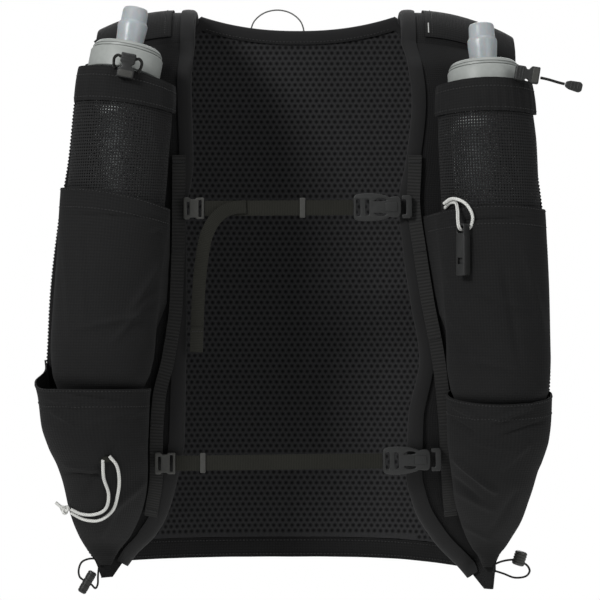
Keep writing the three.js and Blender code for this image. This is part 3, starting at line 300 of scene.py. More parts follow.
WHITE_CORD = 0.0024
white_cords = {
    "whistle_cord": [
        (0.1059, -0.1002, -0.1436), (0.1092, -0.1066, -0.1402), (0.113, -0.1136, -0.1406),
        (0.114, -0.1192, -0.146), (0.114, -0.1238, -0.1525), (0.1146, -0.1256, -0.1576),
        (0.1159, -0.1239, -0.1595), (0.1179, -0.1214, -0.1596), (0.1199, -0.1189, -0.1599),
        (0.1232, -0.1182, -0.1578), (0.1248, -0.1199, -0.1515), (0.1234, -0.1202, -0.1462),
        (0.1196, -0.1194, -0.141), (0.1146, -0.1174, -0.1382), (0.1095, -0.1116, -0.1376),
        (0.105, -0.1046, -0.1406),
    ],
    "pocket_cord_a": [
        (-0.1403, -0.1036, -0.3254), (-0.1403, -0.0932, -0.338), (-0.1374, -0.0802, -0.351),
        (-0.141, -0.065, -0.363), (-0.1496, -0.058, -0.367), (-0.1588, -0.0546, -0.3667),
        (-0.1666, -0.0536, -0.3634),
    ],
    "pocket_cord_b": [
        (-0.1353, -0.1048, -0.3225), (-0.1308, -0.101, -0.3285), (-0.1292, -0.09, -0.3396),
        (-0.131, -0.0782, -0.352), (-0.136, -0.063, -0.3644), (-0.146, -0.0548, -0.3714),
        (-0.1567, -0.0516, -0.371), (-0.1669, -0.0508, -0.366),
    ],
}
cord_pieces, cord_facts = {}, {}
for name, points in white_cords.items():
    line = smooth_path(points, np.linspace(0, 1, 90))
    cord_pieces[name] = tube(name, line, WHITE_CORD / 2, sides=12)
    wear(cord_pieces[name], white_braid, "vest", name)
    cord_facts[name] = dict(
        exit=points[0], length=length_of(line), diameter=WHITE_CORD,
        far_end="object" if name == "whistle_cord" else "knot", stiffness="limp", lay="hanging",
        path=line,
    )

# Elastic cords: the fine grey cord of the hanging loop at the neckline, and the black loops at the two bottom
# corners, each of which runs through a barrel lock. They are thin, springy and sewn in at both ends.
grey_elastic = braided(
    "grey_elastic", "grey_cord", (0.1, 0.1, 0.097), 0.7, 0.03, pitch=0.0011,
    low=(0.05, 0.05, 0.048), high=(0.16, 0.16, 0.155), depth=0.00015,
)
black_elastic = braided(
    "black_elastic", "grey_cord", (0.013, 0.013, 0.013), 0.7, 0.03, pitch=0.0011,
    low=(0.007, 0.007, 0.006), high=(0.021, 0.021, 0.020), depth=0.00015,
)

loop_left, loop_right, loop_rise, loop_depth = -0.037, 0.005, 0.020, 0.0786
loop_turns = np.linspace(math.pi, 0, 7)
hang_loop_points = [(loop_left, loop_depth, -0.015)] + [
    (
        (loop_left + loop_right) / 2 + (loop_right - loop_left) / 2 * math.cos(turn), loop_depth,
        -0.007 + loop_rise * max(math.sin(turn), 0) ** 0.9,
    )
    for turn in loop_turns
] + [(loop_right, loop_depth, -0.015)]
grey_cords = {
    "hang_loop": (0.0012, hang_loop_points),
    "side_cord_left": (0.0016, [
        (-0.1464, 0.0116, -0.4058), (-0.1494, 0.0122, -0.405), (-0.1536, 0.0126, -0.4042),
        (-0.158, 0.0124, -0.4046), (-0.1626, 0.012, -0.407), (-0.1648, 0.0124, -0.413),
        (-0.164, 0.013, -0.418), (-0.1614, 0.013, -0.4202), (-0.1584, 0.013, -0.4219),
        (-0.1554, 0.013, -0.4236), (-0.1524, 0.0144, -0.4266), (-0.1508, 0.0174, -0.424),
        (-0.1506, 0.0184, -0.4178), (-0.1498, 0.017, -0.411), (-0.147, 0.0134, -0.4034),
    ]),
    "side_cord_right": (0.0016, [
        (0.1461, 0.012, -0.4092), (0.1516, 0.013, -0.4068), (0.1576, 0.013, -0.4054),
        (0.1624, 0.013, -0.4052), (0.1657, 0.013, -0.4063), (0.1689, 0.013, -0.4073),
        (0.1724, 0.0132, -0.4098), (0.174, 0.014, -0.4136), (0.1716, 0.015, -0.4174),
        (0.163, 0.016, -0.4188), (0.1546, 0.016, -0.4158), (0.1474, 0.015, -0.4134),
    ]),
}

for name, (thick, points) in grey_cords.items():
    line = smooth_path(points, np.linspace(0, 1, 110))
    cord_pieces[name] = tube(name, line, thick / 2, sides=8)
    wear(cord_pieces[name], grey_elastic if name == "hang_loop" else black_elastic, "vest", name)
    cord_facts[name] = dict(
        exit=points[0], length=length_of(line),
        diameter=thick, far_end="object", stiffness="medium", lay="loose", path=line,
    )


# Back panel: padded spacer mesh with round dimples in staggered rows, black and breathable, over a plain
# backing. It wraps round the ribs and is sewn to the straps, the hem band and the front panels' corners.
VEST_DROP, BACK_DEPTH, BACK_WRAP, BACK_HALF, HEM_DROP = 0.42, 0.072, 0.062, 0.146, 0.407
NECK_HALF, NECK_DROP, NECK_RISE, NECK_END, SHOULDER_WIDTH = 0.08, 0.007, 0.011, 0.075, 0.07
BACK_WALL, HEM_BAND, HEM_SWEEP, SHOULDER_FALL = 0.0035, 0.015, 0.008, 0.015
EASE, GAP = 0.0008, 0.0004

# share of the drop, half width, wrap
BACK = (
    (0.0, 1.01, 0.36), (0.1, 0.95, 0.44), (0.22, 0.86, 0.54), (0.43, 0.81, 0.7), (0.67, 0.85, 0.86),
    (0.86, 0.94, 0.96), (0.97, 1.0, 1.0),
)


def along(table, column, at):
    """One column of a table at shares, on a smooth curve through its rows that doesn't overshoot."""
    xs = np.array([row[0] for row in table])
    ys = np.array([row[column] for row in table])
    rise = np.diff(ys) / np.diff(xs)
    slope = np.concatenate([rise[:1], np.zeros(len(rise) - 1), rise[-1:]])
    product, total = rise[:-1] * rise[1:], rise[:-1] + rise[1:]
    slope[1:-1] = np.where(product > 0, 2 * product / np.where(total == 0, 1, total), 0)
    at = np.clip(at, xs[0], xs[-1])
    i = np.clip(np.searchsorted(xs, at, side="right") - 1, 0, len(xs) - 2)
    span = xs[i + 1] - xs[i]
    t = (at - xs[i]) / span
    return eased(t, ys[i], slope[i], ys[i + 1], slope[i + 1], span)


def fall(u):
    """How far a shoulder falls away, at a share of its width."""
    return SHOULDER_FALL * np.clip(u, 0, 1.2) ** 2.2


def back_half(z):
    return BACK_HALF * along(BACK, 1, -z / VEST_DROP)


def back_face(x, z):
    return BACK_DEPTH - BACK_WRAP * along(BACK, 2, -z / VEST_DROP) * (np.abs(x) / BACK_HALF) ** 3


def back_top(x):
    x = np.abs(x)
    neck = -NECK_DROP + NECK_RISE * np.minimum(1, x / NECK_END) ** 2.2
    shoulder = -0.002 - fall((x - NECK_HALF) / SHOULDER_WIDTH)
    share = np.clip((x - NECK_END) / 0.004, 0, 1)
    return neck + (shoulder - neck) * share


def hem_line(x):
    return -HEM_DROP - HEM_SWEEP * np.maximum(0, x / BACK_HALF) ** 3


def facing(grid, out):
    """Unit normals of a grid of points, on the side that looks the way of out."""
    down, side = np.gradient(grid, axis=0), np.gradient(grid, axis=1)
    normal = np.cross(side, down)
    normal /= np.maximum(np.linalg.norm(normal, axis=2), 1e-9)[..., None]
    if (normal * np.asarray(out, float)).sum(axis=2).mean() < 0:
        normal = -normal
    return normal


def running(steps):
    """The running totals of steps, from nothing on."""
    return np.concatenate([[0], np.cumsum(steps)])


def wall(name, grid, thickness, out, sharp=40):
    """A closed wall of cloth inwards from a grid of points, with a UV map in metres along and down it."""
    rows, columns = grid.shape[:2]
    inner = grid - facing(grid, out) * thickness
    across = running(np.linalg.norm(np.diff(grid, axis=1), axis=2).mean(axis=0))
    down = running(np.linalg.norm(np.diff(grid, axis=0), axis=2).mean(axis=1))
    flat = np.stack(np.meshgrid(across - across.mean(), -down), axis=2).reshape(-1, 2)
    number = np.arange(rows * columns).reshape(rows, columns)
    corners = [number[:-1, :-1], number[1:, :-1], number[1:, 1:], number[:-1, 1:]]
    quads = np.stack(corners, axis=2).reshape(-1, 4)
    first = grid.reshape(-1, 3)[quads[0]]
    turned = np.cross(first[1] - first[0], first[3] - first[0]).dot(facing(grid, out)[0, 0]) < 0
    front = quads[:, ::-1] if turned else quads
    back = (quads if turned else quads[:, ::-1]) + rows * columns
    loop = np.concatenate([number[0], number[1:, -1], number[-1, -2::-1], number[-2:0:-1, 0]])
    ahead = np.roll(loop, -1)
    shift = rows * columns
    rim = np.stack([loop, ahead, ahead + shift, loop + shift], axis=1)
    rim = rim if turned else rim[:, ::-1]
    points = np.concatenate([grid.reshape(-1, 3), inner.reshape(-1, 3)])
    faces = np.concatenate([front, back, rim[:, ::-1]])
    return new_piece(name, points, faces.tolist(), np.concatenate([flat, flat]), sharp)


def outwards(piece, merge=0):
    """Turns the faces of a closed mesh outwards, after merging points nearer than a distance."""
    work = bmesh.new()
    work.from_mesh(piece.data)
    if merge:
        bmesh.ops.remove_doubles(work, verts=work.verts, dist=merge)
    bmesh.ops.recalc_face_normals(work, faces=work.faces)
    work.to_mesh(piece.data)
    work.free()


def loft(name, rings, sharp=50):
    """A closed body through rings of points, with its UVs in metres along and round it."""
    rings = np.asarray(rings, float)
    count, sides = rings.shape[:2]
    run = running(np.linalg.norm(np.diff(rings.mean(axis=1), axis=0), axis=1))
    round_it = running(np.linalg.norm(np.roll(rings[0], -1, axis=0) - rings[0], axis=1))[:-1]
    uvs = np.stack(np.meshgrid(round_it, run), axis=2).reshape(-1, 2)[:, ::-1]
    piece = new_piece(name, rings.reshape(-1, 3), ring_faces(count, sides), uvs, sharp)
    outwards(piece)
    return piece


def folded(grid, out, folds):
    """Raises folds on a grid: each runs between two points of the front view, with a width and a height."""
    normal = facing(grid, out)
    x, z = grid[..., 0], grid[..., 2]
    lift = np.zeros(x.shape)
    for x1, z1, x2, z2, width, height in folds:
        length = math.hypot(x2 - x1, z2 - z1)
        way = ((x2 - x1) / length, (z2 - z1) / length)
        share = ((x - x1) * way[0] + (z - z1) * way[1]) / length
        off = (x - x1) * way[1] - (z - z1) * way[0]
        ends = np.clip(1 - (2 * share - 1) ** 4, 0, 1) * ((share > 0) & (share < 1))
        lift += height * np.exp(-((off / width) ** 2)) * ends
    seen = np.clip((normal * np.asarray(out, float)).sum(axis=2), 0, 1)
    return grid + normal * (lift * seen)[..., None]


def uneven(grid, out, height, size, seed):
    """Gives a grid the slight unevenness of cloth: a few slow waves in fixed directions."""
    chance = np.random.default_rng(seed)
    lift = np.zeros(grid.shape[:2])
    for _ in range(7):
        way = chance.normal(size=3)
        way *= 2 * math.pi / (np.linalg.norm(way) * size * chance.uniform(0.7, 1.6))
        lift += np.sin(grid @ way + chance.uniform(0, 6.28))
    return grid + facing(grid, out) * (lift * height / 7)[..., None]


def pick(piece):
    """Makes a piece the only one selected, for the operators that work on the selection."""
    bpy.ops.object.select_all(action="DESELECT")
    bpy.context.view_layer.objects.active = piece
    piece.select_set(True)


# The spacer mesh is a lattice of triangles, pressed in at every third point of each column.
SPACER_PITCH, DIMPLE_DEPTH = 0.0047, 0.0013
half_pitch, lattice_step = SPACER_PITCH / 2, SPACER_PITCH / math.sqrt(3)
flat_x = np.linspace(0, 0.16, 400)
flat_y = BACK_WRAP * 0.8 * (flat_x / BACK_HALF) ** 3
flat_run = running(np.hypot(np.diff(flat_x), np.diff(flat_y)))
reach = int(0.185 / half_pitch)
lattice, dimples = [], []
rows_down = int(0.415 / lattice_step)
for i in range(-reach, reach + 1):
    x = math.copysign(float(np.interp(abs(i) * half_pitch, flat_run, flat_x)), i)
    z = 0.008 - lattice_step * (np.arange(rows_down) + 0.5 * (i % 2))
    wide = back_half(z)
    xs = np.clip(x, -wide, wide)
    zs = np.maximum(np.minimum(z, back_top(xs)), hem_line(xs) + HEM_BAND + GAP)
    centre = (np.arange(rows_down) % 3) == (1 if i % 2 else 0)
    inside = (np.abs(x) < wide - 0.002) & (z < back_top(xs) - 0.003) & (z > hem_line(xs) + HEM_BAND + 0.003)
    pressed = (centre & inside).astype(float)
    lattice.append(np.stack([xs, back_face(xs, zs) + DIMPLE_DEPTH * pressed, zs], axis=1))
    dimples.append(pressed)
lattice = np.array(lattice)
triangles = []
for i in range(len(lattice) - 1):
    a, b = i * rows_down, (i + 1) * rows_down
    for j in range(1, rows_down - 1):
        if (i - reach) % 2 == 0:
            triangles += [(a + j, a + j + 1, b + j), (b + j - 1, a + j, b + j)]
        else:
            triangles += [(a + j, b + j + 1, b + j), (a + j, a + j + 1, b + j + 1)]
points = lattice.reshape(-1, 3)
corners = points[np.array(triangles)]
size = np.linalg.norm(np.cross(corners[:, 1] - corners[:, 0], corners[:, 2] - corners[:, 0]), axis=1) / 2
kept = np.array(triangles)[size > 0.12 * half_pitch * lattice_step]
panel_uvs = np.stack([points[:, 0], points[:, 2]], axis=1)
back_panel = new_piece("back_panel_mesh", points, kept.tolist(), panel_uvs, 80)
mask = back_panel.data.attributes.new("dimple", "FLOAT", "POINT")
mask.data.foreach_set("value", np.concatenate(dimples))
work = bmesh.new()
work.from_mesh(back_panel.data)
bmesh.ops.delete(work, geom=[v for v in work.verts if not v.link_faces], context="VERTS")
bmesh.ops.remove_doubles(work, verts=work.verts, dist=0.0002)
bmesh.ops.recalc_face_normals(work, faces=work.faces)
if sum(face.normal.y for face in work.faces) > 0:
    bmesh.ops.reverse_faces(work, faces=work.faces)
work.to_mesh(back_panel.data)
work.free()
rounder = back_panel.modifiers.new("round", "SUBSURF")
rounder.levels = rounder.render_levels = 1
pick(back_panel)
bpy.ops.object.modifier_apply(modifier="round")

# Cloth surfaces show threads in rows: a grid whose height peaks where the rows cross.
FULL_TURN = 6.2832
threads, threads_in, threads_out = new_group(
    "threads", [("Vector", "NodeSocketVector", None), ("Pitch", "NodeSocketFloat", 0.001)],
    [("Height", "NodeSocketFloat")],
)
split = threads.nodes.new("ShaderNodeSeparateXYZ")
threads.links.new(threads_in.outputs["Vector"], split.inputs[0])
waves = []
for axis in ("X", "Y"):
    turns = math_node(threads, "DIVIDE", split.outputs[axis], threads_in.outputs["Pitch"])
    waves.append(math_node(threads, "COSINE", math_node(threads, "MULTIPLY", turns, FULL_TURN)))
crossing = math_node(threads, "MULTIPLY_ADD", math_node(threads, "ADD", *waves), 0.25, 0.5)
threads.links.new(crossing, threads_out.inputs["Height"])

# Fuzz and use leave a slow, faint variation on every cloth and plastic: a mask from 0 to 1.
shade, shade_in, shade_out = new_group(
    "shade", [("Vector", "NodeSocketVector", None), ("Scale", "NodeSocketFloat", 40.0)],
    [("Mask", "NodeSocketFloat")],
)
clouds = shade.nodes.new("ShaderNodeTexNoise")
clouds.inputs["Detail"].default_value = 4
shade.links.new(shade_in.outputs["Vector"], clouds.inputs["Vector"])
shade.links.new(shade_in.outputs["Scale"], clouds.inputs["Scale"])
shade.links.new(clouds.outputs["Fac"], shade_out.inputs["Mask"])


def mottled(name, slot, color, roughness, scale, low, high, depth=0.0, sheen=0.0):
    """A plain surface whose tone wanders between two, with a faint unevenness of a depth in metres."""
    made, shader = finish(name, slot, color, roughness, sheen)
    slow = place_group(made, shade, own_map(made, "Object"), scale=scale).outputs["Mask"]
    made.node_tree.links.new(color_mix(made, slow, low, high), shader.inputs["Base Color"])
    if depth:
        raise_surface(made, shader, slow, depth)
    return made


def cloth_finish(name, slot, low, high, pitch, depth, sheen=0.02, roughness=0.85):
    """A black cloth: threads at a pitch, a fine weave under them, slow variation between two tones, and painted
    shade that darkens the grooves between the threads.
    """
    made, shader = finish(name, slot, high, roughness, sheen)
    flat = own_map(made)
    rows = place_group(made, threads, flat, pitch=pitch).outputs["Height"]
    fine = place_group(made, threads, flat, pitch=pitch * 0.31).outputs["Height"]
    slow = place_group(made, shade, own_map(made, "Object"), scale=28.0).outputs["Mask"]
    # Painted shade: the colour follows the thread rows, darker in the grooves between them; the slow part is random
    # tone.
    tone = math_node(made, "MULTIPLY_ADD", slow, 0.5, math_node(made, "MULTIPLY", rows, 0.6))
    made.node_tree.links.new(color_mix(made, tone, low, high), shader.inputs["Base Color"])
    raise_surface(made, shader, rows, depth)
    raise_surface(made, shader, fine, depth * 0.4, 0.7)
    return made


# The spacer mesh is fuzzy on its ribs, and the bottoms of its dimples are painted nearly black as painted shade.
spacer, shader = finish("spacer_mesh", "spacer", (0.02, 0.02, 0.0205), 0.9, sheen=0.03)
pit = spacer.node_tree.nodes.new("ShaderNodeAttribute")
pit.attribute_name = "dimple"
deep = math_node(spacer, "MULTIPLY", math_node(spacer, "POWER", pit.outputs["Fac"], 1.7), 1.9)
deep = math_node(spacer, "MINIMUM", deep, 1.0)
fuzz = place_group(spacer, shade, own_map(spacer, "Object"), scale=900.0).outputs["Mask"]
ribs = color_mix(spacer, fuzz, (0.017, 0.017, 0.0175), (0.036, 0.036, 0.037))
# Painted shade: the dimples are painted nearly black, a dark tone put where shade falls in them.
ribs_with_painted_dimple_shade = color_mix(spacer, deep, ribs, (0.0035, 0.0035, 0.0038))
spacer.node_tree.links.new(ribs_with_painted_dimple_shade, shader.inputs["Base Color"])
weave = place_group(spacer, threads, own_map(spacer), pitch=0.0008).outputs["Height"]
raise_surface(spacer, shader, weave, 0.0002)
wear(back_panel, spacer, "vest", "back_panel")

# The vest's cloths: stretch weave for pockets and bag, knitted mesh for panels and straps, tape for bindings.
plain_cloth = cloth_finish(
    "stretch_weave", "pocket", (0.005, 0.005, 0.0052), (0.0135, 0.0135, 0.0136), pitch=0.0021, depth=0.00022
)
knit = cloth_finish(
    "knitted_mesh", "panel", (0.004, 0.004, 0.0042), (0.0125, 0.0125, 0.0127), pitch=0.0016, depth=0.0002
)
smooth_binding = cloth_finish(
    "elastic_binding", "binding", (0.009, 0.009, 0.0093), (0.017, 0.017, 0.0172), pitch=0.0007, depth=0.00008,
    sheen=0.04,
)

# The backing is one smooth layer of knitted mesh behind the dimples.
BACKING_WALL = 0.0017
t_rows = np.linspace(0, 1, 90)
backing_grid = np.empty((90, 70, 3))
for j, s in enumerate(np.linspace(-1, 1, 70)):
    top, foot = back_top(s * BACK_HALF), hem_line(s * BACK_HALF) + HEM_BAND + GAP
    x = s * back_half(np.linspace(top, foot, 90))
    z = top + (foot - top) * t_rows
    backing_grid[:, j] = np.stack([x, back_face(x, z) + BACK_WALL, z], axis=1)
backing = wall("back_panel_backing", backing_grid, BACKING_WALL, (0, 1, 0))
wear(backing, knit)

# Hem band: a plain double-turned band of the same black cloth, sewn along the mesh panel's bottom edge.
band_rows = np.linspace(0, 1, 14)
band_grid = np.empty((14, 100, 3))
for j, s in enumerate(np.linspace(-1, 1, 100)):
    foot = hem_line(s * BACK_HALF)
    z = foot + HEM_BAND * (1 - band_rows)
    x = s * back_half(z)
    puff = 0.0007 * np.sin(math.pi * band_rows) ** 0.6
    band_grid[:, j] = np.stack([x, back_face(x, z) - puff + 0.0002, z], axis=1)
hem_band = wall("hem_band_cloth", uneven(band_grid, (0, -1, 0), 0.0005, 0.03, 4), BACK_WALL * 0.9, (0, -1, 0))
wear(hem_band, plain_cloth, "vest", "hem_band")


def stitches(name, path, normal, pitch=0.0026, length=0.0017, thick=0.0004, across=False):
    """A row of thread stitches along a path on a surface, each a small rounded grain, or lying across it."""
    path = np.asarray(path, float)
    normal = np.broadcast_to(np.asarray(normal, float), path.shape)
    run = running(np.linalg.norm(np.diff(path, axis=0), axis=1))
    spots = np.arange(pitch / 2, run[-1], pitch)
    points, faces = [], []
    for spot in spots:
        centre, tip = (
            np.array([np.interp(spot + shift, run, path[:, k]) for k in range(3)]) for shift in (0, 0.0004)
        )
        up = np.array([np.interp(spot, run, normal[:, k]) for k in range(3)])
        ahead = (tip - centre) / max(np.linalg.norm(tip - centre), 1e-9)
        aside = np.cross(ahead, up)
        if across:
            ahead, aside = aside, -ahead
        base = len(points)
        points.append(centre - ahead * length / 2)
        for place, share in ((-0.3, 0.9), (0.3, 0.9)):
            for turn in np.linspace(0, 2 * math.pi, 5, endpoint=False):
                points.append(
                    centre + ahead * length * place
                    + share * thick * (math.cos(turn) * aside + 0.8 * math.sin(turn) * up)
                )
        points.append(centre + ahead * length / 2)
        for j in range(5):
            k = (j + 1) % 5
            faces += [
                (base, base + 1 + k, base + 1 + j), (base + 1 + j, base + 1 + k, base + 6 + k, base + 6 + j),
                (base + 11, base + 6 + j, base + 6 + k),
            ]
    return new_piece(name, points, faces, None, 80)


thread = mottled(
    "black_thread", "binding", (0.035, 0.035, 0.036), 0.6, 2500.0,
    (0.007, 0.007, 0.007), (0.019, 0.019, 0.0195), depth=0.0002, sheen=0.03,
)
seam_x = np.linspace(-0.139, 0.139, 160)
seam_z = hem_line(seam_x) + HEM_BAND - 0.002
for k, drop in enumerate((0, 0.0105)):
    band_seam = stitches(
        f"hem_band_stitches_{k + 1}",
        np.stack([seam_x, back_face(seam_x, seam_z - drop) - 0.0009, seam_z - drop], axis=1), (0, -1, 0),
    )
    wear(band_seam, thread)

# Neck binding: elastic tape folded round the back panel's top edge, so it is a round-edged U in section.
BINDING_WIDTH = 0.007


def binding_ring(thickness, width, near, cover=0.0011):
    """A U section round an edge, of (into the cloth, out of its face), with its outside rounded."""
    far = near + cover
    middle, outer, inner = -thickness / 2, thickness / 2 + far, thickness / 2 + near
    turns = np.linspace(0, math.pi, 7)
    ring = [(width, far - 0.0003), (width * 0.75, far + 0.0001), (width * 0.4, far + 0.0002)]
    ring += [(-outer * math.sin(turn), middle + outer * math.cos(turn)) for turn in turns]
    ring += [(width * 0.6, -thickness - far - 0.0001), (width, -thickness - far + 0.0003)]
    ring += [(width, -thickness - near)]
    ring += [(-inner * math.sin(turn) * 0.9, middle + inner * math.cos(turn)) for turn in turns[::-1]]
    return ring + [(width, near)]


neck_rings = []
for s in np.linspace(-0.545, 0.545, 90):
    x = s * BACK_HALF
    z = back_top(x)
    section = binding_ring(BACK_WALL, BINDING_WIDTH, EASE)
    neck_rings.append([(x, back_face(x, z) - out, z - into) for into, out in section])
neck_binding = loft("neck_binding_tape", neck_rings)
wear(neck_binding, smooth_binding, "vest", "neck_binding")
x = np.linspace(-0.071, 0.071, 90)
wear(stitches(
    "neck_binding_stitches",
    np.stack([x, back_face(x, back_top(x)) - EASE - 0.0014, back_top(x) - 0.0052], axis=1), (0, -1, 0),
), thread)

# Rear bag: a stretch-cloth bag over the whole back, open at the top with a bound hem. It is sewn to the back
# panel along its sides and its foot, where the cloth is gathered a little.
BAG_RIM_DROP, BAG_DEPTH, BAG_WALL = 0.026, 0.038, 0.0015
BAG_FILL = ((0.0, 0.55), (0.25, 0.85), (0.6, 1.0), (0.85, 0.9), (0.95, 0.6), (1.0, 0.08))


def bag_grid(shares_down, columns, set_in):
    """The bag's outer face, from side to side and from its rim down, set in towards the back by a distance."""
    grid = np.empty((len(shares_down), columns, 3))
    turn = math.pi * (1 - np.linspace(0, 1, columns))
    for i, down in enumerate(shares_down):
        z = -(BAG_RIM_DROP + (HEM_DROP - 0.01 - BAG_RIM_DROP) * down)
        half = back_half(z) - 0.012 - set_in
        x = half * np.sign(np.cos(turn)) * np.abs(np.cos(turn)) ** 0.7
        foot = back_face(x, z) + BACK_WALL + EASE
        crest = BACK_DEPTH + BACK_WALL + EASE + BAG_DEPTH * along(BAG_FILL, 1, down) - set_in
        y = foot + (crest - foot) * np.abs(np.sin(turn)) ** 0.7
        grid[i] = np.stack([x, y, np.full(columns, z)], axis=1)
    return grid


# Folds fan out from the bag's lower corners and hang across its middle.
bag_folds = [
    (-0.12, -0.37, -0.03, -0.24, 0.006, 0.0035), (0.12, -0.37, 0.04, -0.25, 0.006, 0.0035),
    (-0.11, -0.39, 0.02, -0.33, 0.005, 0.0025), (0.11, -0.388, -0.02, -0.345, 0.005, 0.0025),
    (-0.125, -0.33, -0.05, -0.15, 0.008, 0.002), (0.125, -0.33, 0.06, -0.16, 0.008, 0.002),
    (-0.1, -0.05, -0.02, -0.1, 0.007, -0.0015), (0.1, -0.05, 0.01, -0.095, 0.007, -0.0015),
]
rear_grid = bag_grid(np.linspace(0, 1, 110), 120, 0)
rear_grid = uneven(folded(rear_grid, (0, 1, 0), bag_folds), (0, 1, 0), 0.0012, 0.08, 11)
rear_bag = wall("rear_bag_cloth", rear_grid, BAG_WALL, (0, 1, 0))
wear(rear_bag, plain_cloth, "vest", "rear_bag")
bag_hem_grid = bag_grid(np.linspace(0, 0.036, 8), 120, -EASE - BAG_WALL)[:, 5:-5]
bag_hem = wall("rear_bag_hem_tape", bag_hem_grid, BAG_WALL, (0, 1, 0))
wear(bag_hem, smooth_binding, "vest", "rear_bag_hem")
wear(stitches("rear_bag_hem_stitches", bag_hem_grid[6], facing(bag_hem_grid, (0, 1, 0))[6]), thread)

# Front panels: knitted mesh from the shoulder to the bottom corner, one each side. They turn back round the
# ribs, and near the hem they lie over the back panel's corners, where the two are sewn together.
PANEL_WALL, FLANK_WRAP, CHEST_DEPTH, POCKET_REACH, SHOULDER_END = 0.0025, 0.016, 0.066, 0.184, 0.024
BINDING_WALL, WEBBING_WALL, RAIL_WIDTH, CLOTH_WALL = 0.0011, 0.0012, 0.0095, 0.0012
CHEST = (
    (0.048, -0.45), (0.095, -0.73), (0.238, -0.82), (0.357, -0.88), (0.5, -0.955), (0.624, -1.0),
    (0.714, -0.94), (0.81, -0.7), (0.881, -0.36), (0.952, 0.12), (1.024, 0.9),
)

# share of the drop, inner edge, rail, outer edge
LEFT_PANEL = (
    (0.045, 0.99, 1.09, 0.82), (0.12, 1.02, 1.09, 0.885), (0.26, 1.0, 1.09, 0.92),
    (0.355, 1.065, 1.09, 0.955), (0.5, 1.056, 1.11, 0.99), (0.6, 1.062, 1.18, 1.0),
    (0.67, 1.075, 1.265, 1.015), (0.745, 1.092, 1.293, 0.985), (0.807, 1.16, 1.3, 0.94),
    (0.872, 1.26, 1.355, 0.918), (0.912, 1.38, 1.4, 0.886), (0.945, 1.55, 1.5, 0.857),
    (0.965, 1.63, 1.6, 0.826), (0.995, 1.74, 1.7, 0.8),
)
RIGHT_PANEL = (
    (0.045, 0.985, 1.07, 0.82), (0.084, 1.046, 1.07, 0.89), (0.152, 1.084, 1.07, 0.93),
    (0.257, 1.029, 1.07, 0.952), (0.326, 0.965, 1.055, 0.972), (0.413, 1.0, 1.11, 0.995),
    (0.5, 1.065, 1.18, 1.0), (0.604, 1.148, 1.28, 1.005), (0.708, 1.056, 1.34, 0.995),
    (0.798, 1.049, 1.37, 0.951), (0.86, 1.122, 1.4, 0.914), (0.921, 1.308, 1.45, 0.866),
    (0.976, 1.571, 1.6, 0.795), (1.016, 1.745, 1.75, 0.785),
)

# share of the drop, inner side, outer side, bulge of the lower pockets
LEFT_LOW = (
    (0.595, 0.565, 1.04, 1.0), (0.63, 0.571, 1.041, 1.0), (0.674, 0.582, 1.022, 0.97),
    (0.714, 0.587, 1.014, 0.93), (0.755, 0.592, 0.986, 0.86), (0.786, 0.593, 0.954, 0.79),
    (0.812, 0.598, 0.9375, 0.72), (0.864, 0.62, 0.9174, 0.56), (0.917, 0.674, 0.886, 0.36),
    (0.945, 0.723, 0.856, 0.22), (0.962, 0.748, 0.822, 0.11), (0.976, 0.765, 0.798, 0.045),
)
RIGHT_LOW = (
    (0.595, 0.58, 1.018, 1.0), (0.624, 0.58, 1.014, 1.0), (0.669, 0.582, 0.998, 0.97),
    (0.712, 0.586, 0.995, 0.93), (0.743, 0.59, 0.989, 0.88), (0.781, 0.598, 0.965, 0.81),
    (0.798, 0.603, 0.949, 0.77), (0.843, 0.62, 0.926, 0.64), (0.89, 0.652, 0.897, 0.48),
    (0.921, 0.68, 0.866, 0.36), (0.94, 0.705, 0.842, 0.27), (0.955, 0.73, 0.815, 0.19),
    (0.983, 0.758, 0.787, 0.05),
)
LEFT = dict(
    name="left", sign=-1, panel=LEFT_PANEL, low=LEFT_LOW, end=0.995, low_end=0.972, yoke_end=1.0,
    flask_x=1.535, flask_top=0.0612, lean=0.08, rim=0.044, middle=0.133, low_rim=0.274, mouth_lean=0.2,
    top=(-0.1228, -0.077515, -0.025704), up=(0.177789, 0.185561, 0.966415),
    aside=(0.98399, -0.02134, -0.17693),
)
RIGHT = dict(
    name="right", sign=1, panel=RIGHT_PANEL, low=RIGHT_LOW, end=1.016, low_end=0.976, yoke_end=1.16,
    flask_x=1.681, flask_top=0.0898, lean=0.047, rim=0.05, middle=0.142, low_rim=0.282, mouth_lean=0.03,
    top=(0.13448, -0.079311, -0.037716), up=(-0.046355, 0.179549, 0.982656),
    aside=(0.9989, 0.00142, 0.04686),
)


def edge_at(side, z):
    return NECK_HALF * along(side["panel"], 1, -z / VEST_DROP)


def rail_at(side, z):
    return NECK_HALF * along(side["panel"], 2, -z / VEST_DROP)


def outer_at(side, z):
    return POCKET_REACH * along(side["panel"], 3, -z / VEST_DROP)


def panel_face(side, x, z):
    """The front face of a front panel: x is the distance from the midline."""
    edge, outer = edge_at(side, z), outer_at(side, z)
    across = np.clip((x - edge) / (outer - edge), 0, 1)
    chest = CHEST_DEPTH * along(CHEST, 1, -z / VEST_DROP) + FLANK_WRAP * across**2
    lap = PANEL_WALL + 2 * (BINDING_WALL + GAP) + EASE
    back = back_face(np.minimum(x, back_half(z)), z) - lap
    h = np.clip(0.5 + (back - chest) / 0.016, 0, 1)
    return back + (chest - back) * h - 0.008 * h * (1 - h)


def face_here(side, x, z):
    """The front face of a front panel at one point, as a plain number."""
    return float(panel_face(side, np.array(x), np.array(z)))


def ease_at(z):
    """The room between a front panel and what lies on it: more of it low down."""
    return 1.25 * EASE + 0.0015 * np.clip((-z - 0.25) / 0.09, 0, 1)


